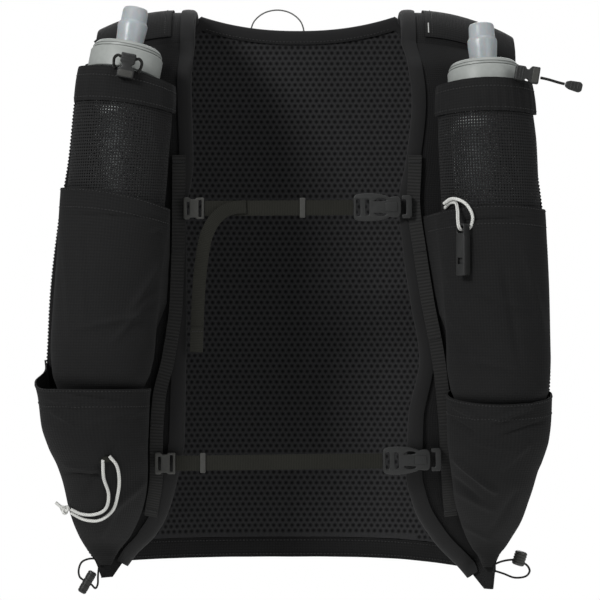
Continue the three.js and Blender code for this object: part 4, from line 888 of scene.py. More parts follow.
panel_grids = {}
for side in (LEFT, RIGHT):
    columns = np.linspace(0, 1, 34)
    grid = np.empty((120, 34, 3))
    for j, u in enumerate(columns):
        z = np.linspace(-(SHOULDER_END - 0.004 + fall(u)), -side["end"] * VEST_DROP, 120)
        x = edge_at(side, z) + (outer_at(side, z) - edge_at(side, z)) * u
        y = panel_face(side, x, z)
        seam_y = panel_face(side, x[:1], np.array([-SHOULDER_END]))
        y += (seam_y - y[0]) * np.clip(1 - (z[0] - z) / 0.025, 0, 1) ** 2
        grid[:, j] = np.stack([side["sign"] * x, y, z], axis=1)
    panel_grids[side["name"]] = grid
    panel = wall(f"front_panel_{side['name']}_cloth", grid, PANEL_WALL, (0, -1, 0))
    wear(panel, knit, "vest", f"front_panel_{side['name']}")

# Shoulder straps and yokes: a strap of soft mesh runs over each shoulder, with a plain flap sewn over its
# outer part. The right flap carries one short white bar tack.
STRAP_WALL, SHOULDER_CROWN = 0.004, 0.006
strap_lines = {}
for side in (LEFT, RIGHT):
    strap_start = face_here(side, NECK_HALF, -SHOULDER_END) + PANEL_WALL / 2
    back_end = float(back_face(NECK_HALF, np.array(0.0))) + BACK_WALL / 2
    between = strap_start - back_end
    strap_lines[side["name"]] = [
        (0, back_end, EASE - 0.002), (0, back_end, EASE + 0.001), (0, back_end - 0.014, SHOULDER_CROWN),
        (0, back_end + between * 0.48, SHOULDER_CROWN * 0.75), (0, back_end + between * 0.74, 0),
        (0, back_end + between * 0.95, -SHOULDER_END * 0.5), (0, strap_start, EASE - SHOULDER_END),
    ]


def strap_grid(side, us, vs, lift):
    """Points on a shoulder strap: across it by us, back to front by vs, and off its middle by lift."""
    line = strap_lines[side["name"]]
    centre = smooth_path(line, vs)
    ahead = smooth_path(line, np.clip(vs + 1e-4, 0, 1)) - smooth_path(line, np.clip(vs - 1e-4, 0, 1))
    ahead /= np.linalg.norm(ahead, axis=1)[:, None]
    grid = np.empty((len(vs), len(us), 3))
    for j, u in enumerate(us):
        x = NECK_HALF + SHOULDER_WIDTH * u
        to_back = (back_face(x, np.array(0.0)) - back_face(NECK_HALF, np.array(0.0))) * (1 - vs) ** 4
        low = np.array(-SHOULDER_END)
        turned = (panel_face(side, x, low) - panel_face(side, np.array(NECK_HALF), low)) * vs**4
        crown = lift[j] if hasattr(lift, "__len__") else lift
        grid[:, j, 0] = side["sign"] * x
        grid[:, j, 1] = centre[:, 1] + to_back + turned - ahead[:, 2] * crown
        grid[:, j, 2] = centre[:, 2] - fall(u) + ahead[:, 1] * crown
    return grid


for side in (LEFT, RIGHT):
    name = side["name"]
    us = np.linspace(0, 1, 28)
    soft_edge = -STRAP_WALL / 2 + 0.0012 * (np.abs(2 * us - 1) ** 8)
    pad = strap_grid(side, us, np.linspace(0, 1, 90), soft_edge)
    strap = wall(f"shoulder_strap_{name}_pad", pad, STRAP_WALL, (0, 0, 1))
    wear(strap, knit, "vest", f"shoulder_strap_{name}")
    us = np.linspace(0.2, side["yoke_end"], 26)
    yoke = strap_grid(side, us, np.linspace(0.1, 0.9, 70), -STRAP_WALL / 2 - EASE - CLOTH_WALL)
    yoke = uneven(yoke, (0, 0, 1), 0.0008, 0.05, 21)
    flap = wall(f"shoulder_yoke_{name}_cloth", yoke, CLOTH_WALL, (0, 0, 1))
    wear(flap, plain_cloth, "vest", f"shoulder_yoke_{name}")
    seam = yoke[2:-2, 2] + (0, 0, 0.0001)
    wear(stitches(f"shoulder_yoke_{name}_stitches", seam, facing(yoke, (0, 0, 1))[2:-2, 2]), thread)
yoke_vs = np.linspace(0.5, 0.9, 200)
tack_line = strap_grid(RIGHT, np.array([0.235, 0.25]), yoke_vs, -STRAP_WALL / 2 - EASE - 0.0014)[:, 0]
tack_line = tack_line[(tack_line[:, 2] < -0.0045) & (tack_line[:, 2] > -0.0125)]
white_thread = mottled(
    "white_thread", "binding", (0.62, 0.62, 0.6), 0.6, 2500.0, (0.4, 0.4, 0.39), (0.7, 0.7, 0.68), sheen=0.03
)
wear(stitches("yoke_bar_tack", tack_line, (0, -0.7, 0.7), 0.0005, 0.001, 0.0003, across=True), white_thread)


# Webbing: narrow ribbed tape of black polyester with an olive cast. It makes the chest straps, the rails they
# hook on to, the loose strap end and the small tab at the left shoulder.
def ribbon(name, path, aside, width, thickness, out, columns=9):
    """A flat tape along a path, with its width along aside."""
    path, aside = np.asarray(path, float), np.broadcast_to(np.asarray(aside, float), np.shape(path))
    across = np.linspace(-0.5, 0.5, columns)
    grid = path[:, None] + aside[:, None] * (across * width)[None, :, None]
    return wall(name, grid, thickness, out)


def beside(line, hand=1):
    """Unit vectors across a line, in the front plane."""
    ahead = np.gradient(line, axis=0)
    aside = hand * np.stack([ahead[:, 2], np.zeros(len(line)), -ahead[:, 0]], axis=1)
    return aside / np.linalg.norm(aside, axis=1)[:, None]


def webbing_finish(name, low, high, pitch):
    """Webbing: ribs across it at a pitch, with finer strands along it, and painted shade darker between them."""
    made, shader = finish(name, "webbing", high, 0.75, 0.03)
    flat = own_map(made)
    split = made.node_tree.nodes.new("ShaderNodeSeparateXYZ")
    made.node_tree.links.new(flat, split.inputs[0])
    rib = math_node(made, "COSINE", math_node(made, "MULTIPLY", split.outputs["Y"], FULL_TURN / pitch))
    strand = math_node(made, "COSINE", math_node(made, "MULTIPLY", split.outputs["X"], FULL_TURN / 0.0009))
    height = math_node(made, "MULTIPLY_ADD", rib, 0.35, math_node(made, "MULTIPLY_ADD", strand, 0.15, 0.5))
    slow = place_group(made, shade, own_map(made, "Object"), scale=60.0).outputs["Mask"]
    # Painted shade: the colour follows the ribs and strands, darker in the grooves between them; the slow part is
    # random tone.
    tone = math_node(made, "MULTIPLY_ADD", slow, 0.3, math_node(made, "MULTIPLY", height, 0.7))
    made.node_tree.links.new(color_mix(made, tone, low, high), shader.inputs["Base Color"])
    raise_surface(made, shader, height, 0.0002)
    return made


webbing = webbing_finish("webbing", (0.006, 0.006, 0.0045), (0.02, 0.02, 0.0155), 0.0012)
rail_webbing = webbing_finish("rail_webbing", (0.008, 0.008, 0.008), (0.032, 0.032, 0.031), 0.0024)
STRAP_WIDTH, TAIL_WIDTH, UPPER_Y, LOWER_Y, TAIL_Y = 0.011, 0.0094, -0.064481, -0.06247, -0.066281
for level, x_from, x_to, centre_x, y, at, lean in (
    ("upper", -0.0682, 0.0401, 0.0033, UPPER_Y, -0.1427, 0.006),
    ("lower", -0.0892, 0.0616, -0.0695, LOWER_Y, -0.329, 0.012),
):
    x = np.linspace(x_from, x_to, 80)
    line = np.stack([x, np.full(80, y - WEBBING_WALL / 2), at + lean * (x - centre_x)], axis=1)
    strap = ribbon(f"chest_strap_{level}_tape", line, (lean, 0, -1), STRAP_WIDTH, WEBBING_WALL, (0, -1, 0))
    wear(strap, webbing, "vest", f"chest_strap_{level}")
tail_points = [
    (-0.038, -0.142, 0.0), (-0.046, -0.1426, 0.0), (-0.054, -0.1455, 0.0014), (-0.061, -0.152, 0.0036),
    (-0.0666, -0.163, 0.005), (-0.07, -0.18, 0.0052), (-0.0724, -0.206, 0.005), (-0.074, -0.248, 0.0048),
]
tail_middle = [(x, TAIL_Y - lift - WEBBING_WALL / 2, z) for x, z, lift in tail_points]
line = smooth_path(tail_middle, np.linspace(0, 1, 120))
aside = beside(line)
tail = ribbon("strap_tail_tape", line, aside, TAIL_WIDTH, WEBBING_WALL, (0, -1, 0))
wear(tail, webbing, "vest", "strap_tail")
fold = line[-8:] + (0, -WEBBING_WALL, 0)
wear(ribbon("strap_tail_fold", fold, aside[-8:], TAIL_WIDTH, WEBBING_WALL, (0, -1, 0)), webbing)
seam = [fold[1] + (-0.0038, -0.0002, 0), fold[1] + (0.0038, -0.0002, 0)]
wear(stitches("strap_tail_stitches", seam, (0, -1, 0), 0.0016, 0.0012), thread)
tab_grid = np.array([
    strap_grid(LEFT, np.array([0.86, 0.91, 0.96, 1.0, 1.05]), np.array([v]), STRAP_WALL / 2 + EASE)[0]
    for v in np.linspace(0.33, 0.47, 6)
]).transpose(1, 0, 2)
tab_grid[-1, :, 2] -= 0.0015
wear(wall("shoulder_tab_left_tape", tab_grid, WEBBING_WALL, (0, 0, -1)), webbing, "vest", "shoulder_tab_left")
RAIL_CLEAR = 0.0006
for side in (LEFT, RIGHT):
    z = np.linspace(-0.104, -0.37, 160)
    x = rail_at(side, z)
    y = panel_face(side, x, z) - (ease_at(z) + BINDING_WALL + EASE + RAIL_CLEAR) - WEBBING_WALL / 2
    line = np.stack([side["sign"] * x, y, z], axis=1)
    aside = beside(line, -1)
    rail = ribbon(f"rail_tape_{side['name']}_tape", line, aside, RAIL_WIDTH, WEBBING_WALL, (0, -1, 0))
    wear(rail, rail_webbing, "vest", f"rail_tape_{side['name']}")
    for k, spot in enumerate((3, 42, 80, 118, 156)):
        centre = line[spot] + (0, -0.0002, 0)
        ends = [centre - aside[spot] * 0.0042, centre + aside[spot] * 0.0042]
        label = f"rail_{side['name']}_tack_{k + 1}"
        wear(stitches(label, ends, (0, -1, 0), 0.0005, 0.0022, 0.0003, across=True), thread)

# Edge bindings: stretch tape folded round the inner edge of each front panel, as round as piping. Below the
# lower pockets' rims they are narrower, where the pocket is sewn in close to the edge.
def panel_ring(side, drop, rise, width, near):
    """A binding's section round a front panel's inner edge, square to the way the edge runs."""
    length = math.hypot(rise, 1)
    edge = float(edge_at(side, np.array(-drop)))
    ring = []
    for into, out in binding_ring(PANEL_WALL, width, near):
        x, level = edge + into / length, -drop + into * rise / length
        ring.append((side["sign"] * x, face_here(side, x, level) - out, level))
    return ring


for side in (LEFT, RIGHT):
    rings = []
    for drop in np.linspace(0.044, side["end"] * VEST_DROP - 0.01, 150):
        z = np.array(-drop)
        edge = float(edge_at(side, z))
        rise = 0 if drop < 0.045 else float(edge_at(side, z - 0.001) - edge_at(side, z + 0.001)) / 0.002
        inner = POCKET_REACH * float(along(side["low"], 1, drop / VEST_DROP))
        room = BINDING_WIDTH
        if drop > side["low_rim"]:
            room = min(BINDING_WIDTH, max(0.002, (inner - edge) / math.hypot(rise, 1) - 2 * EASE))
        rings.append(panel_ring(side, drop, rise, room, float(ease_at(z))))
    binding = loft(f"edge_binding_{side['name']}_tape", rings)
    wear(binding, smooth_binding, "vest", f"edge_binding_{side['name']}")

# The same tape runs on over the shoulder along each strap's inner edge, and ends behind the neck.
for side in (LEFT, RIGHT):
    rings = []
    for v in np.linspace(0.14, 0.96, 60):
        ring = []
        for into, out in binding_ring(STRAP_WALL, BINDING_WIDTH, EASE):
            across = np.array([into / SHOULDER_WIDTH])
            ring.append(tuple(strap_grid(side, across, np.array([v]), -STRAP_WALL / 2 - out)[0, 0]))
        rings.append(ring)
    rings += [panel_ring(side, drop, 0, BINDING_WIDTH, 0.001) for drop in np.linspace(0.03, 0.0445, 8)]
    wear(loft(f"strap_binding_{side['name']}_tape", rings), smooth_binding)

# Soft flasks: bottles of clear soft plastic that stand in the mesh sleeves, full of water. Each has a hard grey
# collar cap, screwed on, and a soft translucent bite valve, which turns a quarter on its spout.
FLASK_WIDTH, FLASK_DEPTH, FLASK_LENGTH, SLEEVE_EASE = 0.066, 0.058, 0.236, 0.0014
FLASK_OFF, COLLAR_RADIUS, COLLAR_TOP, COLLAR_FOOT, BAG_FROM = 0.0028, 0.0227, -0.0034, -0.022, 0.115
FLASK_BAG = ((0.13, 0.85, 0.9), (0.25, 1.0, 1.0), (0.85, 1.0, 1.0), (0.95, 0.84, 0.76), (1.0, 0.42, 0.3))


def axis_x(side, drop):
    """How far out a flask's axis stands."""
    return NECK_HALF * side["flask_x"] + side["lean"] * (drop - side["flask_top"] * VEST_DROP)


def face_at(side, drop):
    """Where a flask's axis would lie if the flask touched the panel all the way down."""
    return panel_face(side, axis_x(side, drop), -drop) - (FLASK_DEPTH / 2 + FLASK_OFF)


def axis_y(side, drop):
    """How far forward a flask's straight axis stands, so that the flask clears the panel."""
    top = side["flask_top"] * VEST_DROP
    begin, end = face_at(side, np.array(top + 0.022)), face_at(side, np.array(top + FLASK_LENGTH))
    spots = np.linspace(0, 1, 11)
    straight = begin + (end - begin) * spots
    forward = max(0, float((straight - face_at(side, top + FLASK_LENGTH * spots)).max()))
    return begin + (end - begin) * (drop - top) / FLASK_LENGTH - forward


def axes(origin, along_z, along_x=None):
    """The matrix of a frame at a point, from its z axis and roughly its x axis."""
    up = Vector(along_z).normalized()
    right = Vector(along_x or (1, 0, 0))
    right = (right - up * right.dot(up)).normalized()
    turned = Matrix([right, up.cross(right), up]).transposed().to_4x4()
    return Matrix.Translation(origin) @ turned


def turned_piece(name, profile, frame_matrix, steps=56):
    """A turned body: a profile of (radius, height) round the z axis of a frame."""
    mesh = bpy.data.meshes.new(name)
    mesh.from_pydata([(r, 0, z) for r, z in profile], [(k, k + 1) for k in range(len(profile) - 1)], [])
    piece = bpy.data.objects.new(name, mesh)
    bpy.context.scene.collection.objects.link(piece)
    spin = piece.modifiers.new("spin", "SCREW")
    spin.axis, spin.steps, spin.render_steps, spin.use_merge_vertices = "Z", steps, steps, True
    spin.merge_threshold = 0.000001
    pick(piece)
    bpy.ops.object.modifier_apply(modifier="spin")
    return tidied(piece, frame_matrix)


def tidied(piece, frame_matrix, sharp=35):
    """Closes a mesh made with modifiers, turns its faces outwards and moves it into its place."""
    outwards(piece, 0.000002)
    piece.data.transform(frame_matrix)
    pick(piece)
    bpy.ops.object.shade_smooth_by_angle(angle=math.radians(sharp))
    return piece


soft_plastic = mottled(
    "flask_film", "flask", (0.75, 0.79, 0.78), 0.3, 45.0, (0.66, 0.7, 0.69), (0.86, 0.9, 0.89),
    depth=0.002,
)
cap_plastic = mottled(
    "cap_plastic", "cap", (0.3, 0.315, 0.3), 0.45, 300.0, (0.27, 0.285, 0.27), (0.34, 0.355, 0.34),
    depth=0.0001,
)
silicone = mottled(
    "valve_silicone", "valve", (0.7, 0.74, 0.75), 0.32, 160.0, (0.46, 0.5, 0.52), (0.6, 0.64, 0.66),
    depth=0.0003,
)
shader = silicone.node_tree.nodes["Principled BSDF"]
shader.inputs["Transmission Weight"].default_value = 0.35
shader.inputs["Subsurface Weight"].default_value = 0.25
shader.inputs["Subsurface Scale"].default_value = 0.004
core_plastic = mottled(
    "spout_core", "valve", (0.3, 0.42, 0.55), 0.3, 160.0, (0.25, 0.36, 0.5), (0.36, 0.48, 0.6)
)

# The cap's and the valve's profiles are in millimetres, the radius first, then the height.
cap_profile = [
    (0, -3), (23.5, -3), (23.5, -21.8), (23.8, -22), (26.1, -22), (26.5, -21.6), (26.5, -8.3), (26.2, -7.5),
    (25.7, -6.95), (24.6, -6.85), (24.6, -6.35), (25.45, -6.2), (25.45, -4.95), (24.4, -4.8), (24.4, -4.35),
    (25.1, -4.15), (23.7, -2), (23.2, -1.6), (9.6, -0.1), (6.5, 0.4),
    (6, 0.9), (6, 19.5), (5.5, 19.95), (0, 19.95),
]
valve_profile = [
    (0, 26.3), (6.4, 26.3), (6.4, 1.2), (9.5, 1.2), (9.8, 1.5), (10.2, 6), (10.8, 13.9), (10.8, 15.9), (10.6, 16.6),
    (9.7, 17.8), (9.5, 18.4), (9.3, 26), (9.1, 27), (8.5, 28.1), (7.6, 28.5), (0, 28.5),
]
core_profile = [(0, 0.0203), (0.0046, 0.0203), (0.005, 0.0207), (0.005, 0.0252), (0.0046, 0.0256), (0, 0.0256)]
for side in (LEFT, RIGHT):
    name, sign = side["name"], side["sign"]
    top = side["flask_top"] * VEST_DROP
    collar = axes(side["top"], side["up"], side["aside"])
    start = Vector((sign * axis_x(side, top), float(axis_y(side, np.array(top))), -top))
    finish_y = float(axis_y(side, np.array(top + FLASK_LENGTH)))
    body = axes(start, (-sign * side["lean"] * FLASK_LENGTH, start.y - finish_y, FLASK_LENGTH))
    turns = np.linspace(0, 2 * math.pi, 56, endpoint=False)
    rings = [
        [collar @ Vector((COLLAR_RADIUS * math.cos(t), COLLAR_RADIUS * math.sin(t), z)) for t in turns]
        for z in (COLLAR_TOP, COLLAR_FOOT)
    ]
    levels = [np.linspace(BAG_FROM, 0.3, 10), np.linspace(0.34, 0.8, 12), np.linspace(0.83, 1, 12)]
    for at in np.concatenate(levels):
        widening = min(1, 0.86 + 6 * (at - BAG_FROM))
        wide = FLASK_WIDTH / 2 * float(along(FLASK_BAG, 1, at)) * widening
        deep = FLASK_DEPTH / 2 * float(along(FLASK_BAG, 2, at)) * widening
        level = -FLASK_LENGTH * at
        rings.append([body @ Vector((wide * math.cos(t), deep * math.sin(t), level)) for t in turns])
    film = loft(f"flask_{name}_film", [[tuple(p) for p in ring] for ring in rings], 35)
    wear(film, soft_plastic, "vest", f"flask_{name}")
    cap = turned_piece(f"flask_cap_{name}_shell", [(r / 1000, z / 1000) for r, z in cap_profile], collar, 72)
    wear(cap, cap_plastic, "vest", f"flask_cap_{name}")
    valve = turned_piece(f"bite_valve_{name}_teat", [(r / 1000, z / 1000) for r, z in valve_profile], collar)
    wear(valve, silicone, f"valve_{name}", f"bite_valve_{name}")
    core = turned_piece(f"bite_valve_{name}_core", core_profile, collar, 32)
    wear(core, core_plastic, f"valve_{name}")

# Flask sleeves, hems and pockets: cloth tubes that hug the flasks, sewn to the front panels along both sides.
# The sleeve is open mesh with a plain drawcord hem. A middle and a lower pocket of stretch cloth lie over it.
SLEEVE_FILL = (
    (0.0, 0.9, 0.93, 1.0), (0.12, 0.96, 0.98, 1.0), (0.25, 1.0, 1.0, 1.0), (0.85, 1.0, 1.0, 1.0),
    (0.95, 0.94, 0.9, 1.0), (1.0, 0.82, 0.74, 0.92), (1.03, 0.74, 0.6, 0.68), (1.055, 0.68, 0.5, 0.34),
    (1.075, 0.62, 0.45, 0.08),
)
HUG = np.radians((-30, -5, 20, 44, 67, 90, 113, 136, 160, 185, 210))


def hug_row(side, z, middle, centre, wide, deep, is_open, out_foot, in_foot, tent, columns):
    """One level of a pocket's front face, from its outer to its inner seam."""
    def base(x):
        return face_here(side, x, z) - float(ease_at(z))

    points = []
    for angle in HUG:
        s, c = math.sin(angle), math.cos(angle)
        reach = c if s >= 0 else math.copysign(1.01, c) * (1 - is_open) + c * is_open
        points.append([middle + wide * reach, centre - deep * s])
    foot, eighth = [in_foot, base(in_foot)], points[8]
    for k in (9, 10):
        t = (k - 8) / 3
        points[k] = [
            points[k][n] + ((eighth[n] + (foot[n] - eighth[n]) * t) - points[k][n]) * tent for n in (0, 1)
        ]
    points = [[x, base(x) + (y - base(x)) * is_open] for x, y in points]
    row = [[out_foot, base(out_foot)], *points, foot]
    return smooth_path([(side["sign"] * x, y, z) for x, y in row], np.linspace(0, 1, columns))


def beside_rail(side, z):
    """Just outside a rail, where a pocket's inner seam can lie."""
    return float(rail_at(side, z)) + RAIL_WIDTH / 2 + WEBBING_WALL


def slack(drop):
    """How much wider than the sleeve a middle pocket is."""
    return 0.003 * min(1, max(0, (0.26 - drop) / 0.11))


def tent(side, drop):
    """How far a middle pocket is drawn in to the rail, above the lower pocket's rim."""
    return 0.96 * min(1, max(0, (side["low_rim"] - 0.022 - drop) / 0.04))


def sleeve_grid(side, mouth, outside, rows, columns, end=1.075, lower=0.0, tuck=0.72, loose=False):
    """The front face of a tube of cloth that hugs a flask, from its mouth down, or stands loosely round it."""
    top = side["flask_top"] * VEST_DROP
    grid = np.empty((rows, columns, 3))
    bottom = top + end * FLASK_LENGTH + lower if end > 0.2 else mouth + end
    for i, drop in enumerate(np.linspace(mouth, bottom, rows)):
        inside = (drop - top - 1.5 * outside - lower) / FLASK_LENGTH
        middle = axis_x(side, drop)
        is_open = float(along(SLEEVE_FILL, 3, inside))
        wide = (FLASK_WIDTH / 2 + SLEEVE_EASE) * float(along(SLEEVE_FILL, 1, inside)) + outside
        wide += slack(drop) if loose else 0
        deep = (FLASK_DEPTH / 2 + SLEEVE_EASE) * float(along(SLEEVE_FILL, 2, inside)) + outside
        foot = wide * (1.03 + (tuck - 1.03) * is_open)
        pull = tent(side, drop) if loose else 0
        in_foot = (middle - foot) * (1 - pull) + beside_rail(side, -drop) * pull
        row = hug_row(
            side, -drop, middle, float(axis_y(side, np.array(drop))), wide, deep, is_open, middle + foot, in_foot,
            pull, columns,
        )
        out = side["sign"] * row[:, 0] - middle
        fade = min(1, max(0, 1 - (drop - mouth) / 0.06))
        row[:, 2] += fade * (side["mouth_lean"] * out - 0.004 * (out / wide) ** 2)
        grid[i] = row
    return grid


def low_grid(side, rows, columns):
    """The front face of a lower pocket, from its rim to the bottom corner."""
    grid = np.empty((rows, columns, 3))
    t = np.linspace(0, 1, columns)
    if side is LEFT:
        lift = 0.02 * np.clip((0.3 - t) / 0.3, 0, 1) ** 1.5
    else:
        lift = 0.016 * np.abs(2 * t - 1) ** 1.8 - 0.003
    for i, drop in enumerate(np.linspace(side["low_rim"], side["low_end"] * VEST_DROP, rows)):
        share = drop / VEST_DROP
        inner, outer = (POCKET_REACH * float(along(side["low"], k, share)) for k in (1, 2))
        middle, wide = (inner + outer) / 2, (outer - inner) / 2
        base = face_here(side, middle, -drop) - float(ease_at(-drop))
        bulge = 0.064 * float(along(side["low"], 3, share))
        centre, deep = base - 0.45 * bulge, 0.55 * bulge
        in_foot = max(middle - 0.9 * wide, beside_rail(side, -drop))
        row = hug_row(side, -drop, middle, centre, wide, deep, 1, middle + 0.9 * wide, in_foot, 0, columns)
        row[:, 2] += lift * np.clip(1 - i / (rows * 0.22), 0, 1)
        grid[i] = row
    return grid


def squared_offset(made, place, centre, spread):
    """How far a coordinate is from a centre, counted in spreads and squared."""
    offset = math_node(made, "DIVIDE", math_node(made, "SUBTRACT", place, centre), spread)
    return math_node(made, "POWER", math_node(made, "ABSOLUTE", offset), 2)


# The sleeves' mesh is open between its threads, and its holes are widest where the flasks stretch it most. Round
# the holes it is painted darker as painted shade.
mesh_cloth, shader = finish("open_mesh", "sleeve", (0.02, 0.02, 0.0205), 0.8, sheen=0.03)
holes = place_group(mesh_cloth, threads, own_map(mesh_cloth), pitch=0.0021).outputs["Height"]
split = mesh_cloth.node_tree.nodes.new("ShaderNodeSeparateXYZ")
mesh_cloth.node_tree.links.new(own_map(mesh_cloth, "Object"), split.inputs[0])
stretch = []
for x, z, wide, tall in ((-0.1345, -0.102, 0.018, 0.05), (0.124, -0.108, 0.02, 0.05)):
    square_x = squared_offset(mesh_cloth, split.outputs["X"], x, wide)
    square_z = squared_offset(mesh_cloth, split.outputs["Z"], z, tall)
    square = math_node(mesh_cloth, "ADD", square_x, square_z)
    stretch.append(math_node(mesh_cloth, "EXPONENT", math_node(mesh_cloth, "MULTIPLY", square, -1)))
pulled = math_node(mesh_cloth, "MAXIMUM", *stretch)
limit = math_node(mesh_cloth, "MULTIPLY_ADD", pulled, -0.27, 0.83)
gap_mask = math_node(mesh_cloth, "MULTIPLY", math_node(mesh_cloth, "SUBTRACT", holes, limit), 14)
gap_mask = math_node(mesh_cloth, "MINIMUM", math_node(mesh_cloth, "MAXIMUM", gap_mask, 0), 1)
mesh_cloth.node_tree.links.new(math_node(mesh_cloth, "SUBTRACT", 1, gap_mask), shader.inputs["Alpha"])
# Painted shade: the threads are painted darker towards the holes.
tone = color_mix(mesh_cloth, holes, (0.017, 0.017, 0.0172), (0.008, 0.008, 0.0082))
mesh_cloth.node_tree.links.new(tone, shader.inputs["Base Color"])
raise_surface(mesh_cloth, shader, holes, -0.0003)

PHOTO_MIDDLE, PIXEL, PIXEL_FAR = 300, 0.00072, 2.6
FOLD_WIDTH, FOLD_HEIGHT = 0.0006, 0.0017


def px(x, y, forward=0.1):
    """Where a pixel of the photo lies in the front view, for something that far forward of the shoulders."""
    s = (CAMERA_FAR - forward) / PIXEL_FAR * PIXEL
    return CAMERA_X + (x - PHOTO_MIDDLE) * s, CAMERA_Z + (PHOTO_MIDDLE - y) * s


def px_folds(*folds):
    """Folds given by their ends in the photo's pixels, with a width and a height in the units above."""
    return [(*px(a, b), *px(c, d), w * FOLD_WIDTH, h * FOLD_HEIGHT) for a, b, c, d, w, h in folds]


sleeve_folds = {
    "left": px_folds((95, 110, 150, 100, 3, 0.5), (150, 120, 165, 180, 3, 0.6), (92, 150, 104, 185, 3, -0.5)),
    "right": px_folds((440, 115, 500, 108, 3, 0.5), (448, 120, 455, 200, 3, 0.6), (500, 130, 520, 190, 4, -0.6)),
}
middle_folds = {
    "left": px_folds(
        (128, 318, 188, 222, 4.5, 1.7), (112, 345, 182, 262, 4, 1.3), (72, 330, 160, 312, 4, 1.1),
        (84, 225, 92, 330, 4, -1.0), (64, 240, 74, 345, 5, 0.9), (70, 214, 172, 219, 1.5, -0.6),
        (150, 235, 178, 222, 2.5, 0.8), (150, 350, 180, 322, 4, 1.2),
    ),
    "right": px_folds(
        (430, 232, 470, 330, 5, 1.4), (425, 270, 480, 372, 4.5, 1.3), (520, 240, 545, 340, 5, 1.2),
        (500, 260, 520, 370, 4.5, -1.1), (440, 352, 520, 372, 4, 1.2), (432, 222, 540, 217, 1.5, -0.6),
        (470, 290, 530, 312, 5, 0.8),
    ),
}
low_folds = {
    "left": px_folds(
        (48, 398, 84, 408, 2.2, 1.4), (50, 410, 76, 424, 2.4, 1.2), (60, 392, 130, 402, 2, -0.8),
        (85, 425, 165, 405, 4, 1.0), (60, 466, 102, 470, 3.2, 1.3), (60, 474, 102, 477, 1.6, -1.3),
        (100, 520, 160, 470, 5, 1.6), (80, 500, 120, 440, 5, -1.1), (110, 560, 165, 510, 4, 1.3),
        (95, 545, 120, 500, 4, 1.0), (140, 440, 172, 480, 4, 1.1),
    ),
    "right": px_folds(
        (448, 404, 480, 420, 2.2, 1.6), (484, 424, 535, 404, 2.4, 1.6), (498, 436, 545, 420, 2.6, -1.4),
        (450, 418, 476, 434, 2.4, -1.3), (452, 458, 500, 496, 3.4, 2.6), (446, 474, 486, 506, 3.2, -1.6),
        (448, 490, 500, 515, 4.5, 1.3), (450, 542, 490, 565, 3.2, 1.6), (446, 520, 500, 550, 3.5, 1.2),
        (500, 470, 530, 440, 5, 1.2), (495, 540, 520, 490, 5, -1.2), (470, 440, 520, 452, 4, 0.9),
    ),
}
low_grids = {}
front = (0, -1, 0)
MESH_WALL, HEM_WALL, MIDDLE_OFF = 0.0009, 0.0014, 0.0032
for side in (LEFT, RIGHT):
    name, sign = side["name"], side["sign"]
    sleeve = sleeve_grid(side, side["rim"], 0.0012, 110, 78)
    sleeve = uneven(folded(sleeve, front, sleeve_folds[name]), front, 0.0006, 0.05, 31)
    sleeve_piece = wall(f"flask_sleeve_{name}_mesh", sleeve, MESH_WALL, front)
    wear(sleeve_piece, mesh_cloth, "vest", f"flask_sleeve_{name}")
    hem = sleeve_grid(side, side["rim"], MIDDLE_OFF, 20, 110, end=0.024, tuck=0.79)
    run = np.linspace(0, 1, 110)
    puff = 0.0006 * np.sin(np.linspace(0, math.pi, 20)) ** 0.6
    gathers = 0.00045 * np.sin(run * (150 if side is RIGHT else 60) + np.sin(run * 17) * 1.7)
    swell = puff[:, None] + gathers[None] * np.linspace(0.4, 1, 20)[:, None]
    hem = hem + facing(hem, front) * swell[..., None]
    wear(wall(f"sleeve_hem_{name}_cloth", hem, HEM_WALL, front), plain_cloth, "vest", f"sleeve_hem_{name}")
    for k, row in enumerate((5, 17)):
        seam = stitches(f"sleeve_hem_{name}_stitches_{k + 1}", hem[row, 8:-8], facing(hem, front)[row, 8:-8])
        wear(seam, thread)
    middle = sleeve_grid(side, side["middle"], MIDDLE_OFF, 130, 96, lower=0.0068, tuck=0.79, loose=True)
    middle = uneven(folded(middle, front, middle_folds[name]), front, 0.0011, 0.07, 41)
    pocket = wall(f"middle_pocket_{name}_cloth", middle, CLOTH_WALL, front)
    wear(pocket, plain_cloth, "vest", f"middle_pocket_{name}")
    low = low_grid(side, 120, 100)
    low = uneven(folded(low, front, low_folds[name]), front, 0.001, 0.06, 51)
    low_grids[name] = low
    pocket = wall(f"lower_pocket_{name}_cloth", low, CLOTH_WALL, front)
    wear(pocket, plain_cloth, "vest", f"lower_pocket_{name}")
    for label, grid in (("middle", middle), ("lower", low)):
        normal = facing(grid, front)
        for k, level in enumerate((11, 1)):
            seam = grid[level, 6:-6] + normal[level, 6:-6] * 0.0001
            wear(stitches(f"{label}_pocket_{name}_stitches_{k + 1}", seam, normal[level, 6:-6]), thread)
    bound = panel_grids[name][4:-4, -1] + (sign * 0.0002, -0.0004, 0)
    wear(stitches(f"front_panel_{name}_stitches", bound, front), thread)

# A short loop of black tape on the left lower pocket holds the two white cords where they come out of it.
guide_x, guide_z = px(107, 460)
nearest = low_grids["left"].reshape(-1, 3)
nearest = nearest[np.argmin(np.hypot(nearest[:, 0] - guide_x, nearest[:, 2] - guide_z) + (nearest[:, 1] > 0))]
GUIDE_REACH, GUIDE_WIDTH, GUIDE_WALL = 0.0055, 0.0042, 0.0009
guide = [
    nearest + (x, -0.0034 + 0.0026 * (x / GUIDE_REACH) ** 2, 0.0006 + 0.1 * x)
    for x in np.linspace(-GUIDE_REACH, GUIDE_REACH, 12)
]
wear(ribbon("pocket_cord_guide", guide, (0, 0, 1), GUIDE_WIDTH, GUIDE_WALL, front), webbing)

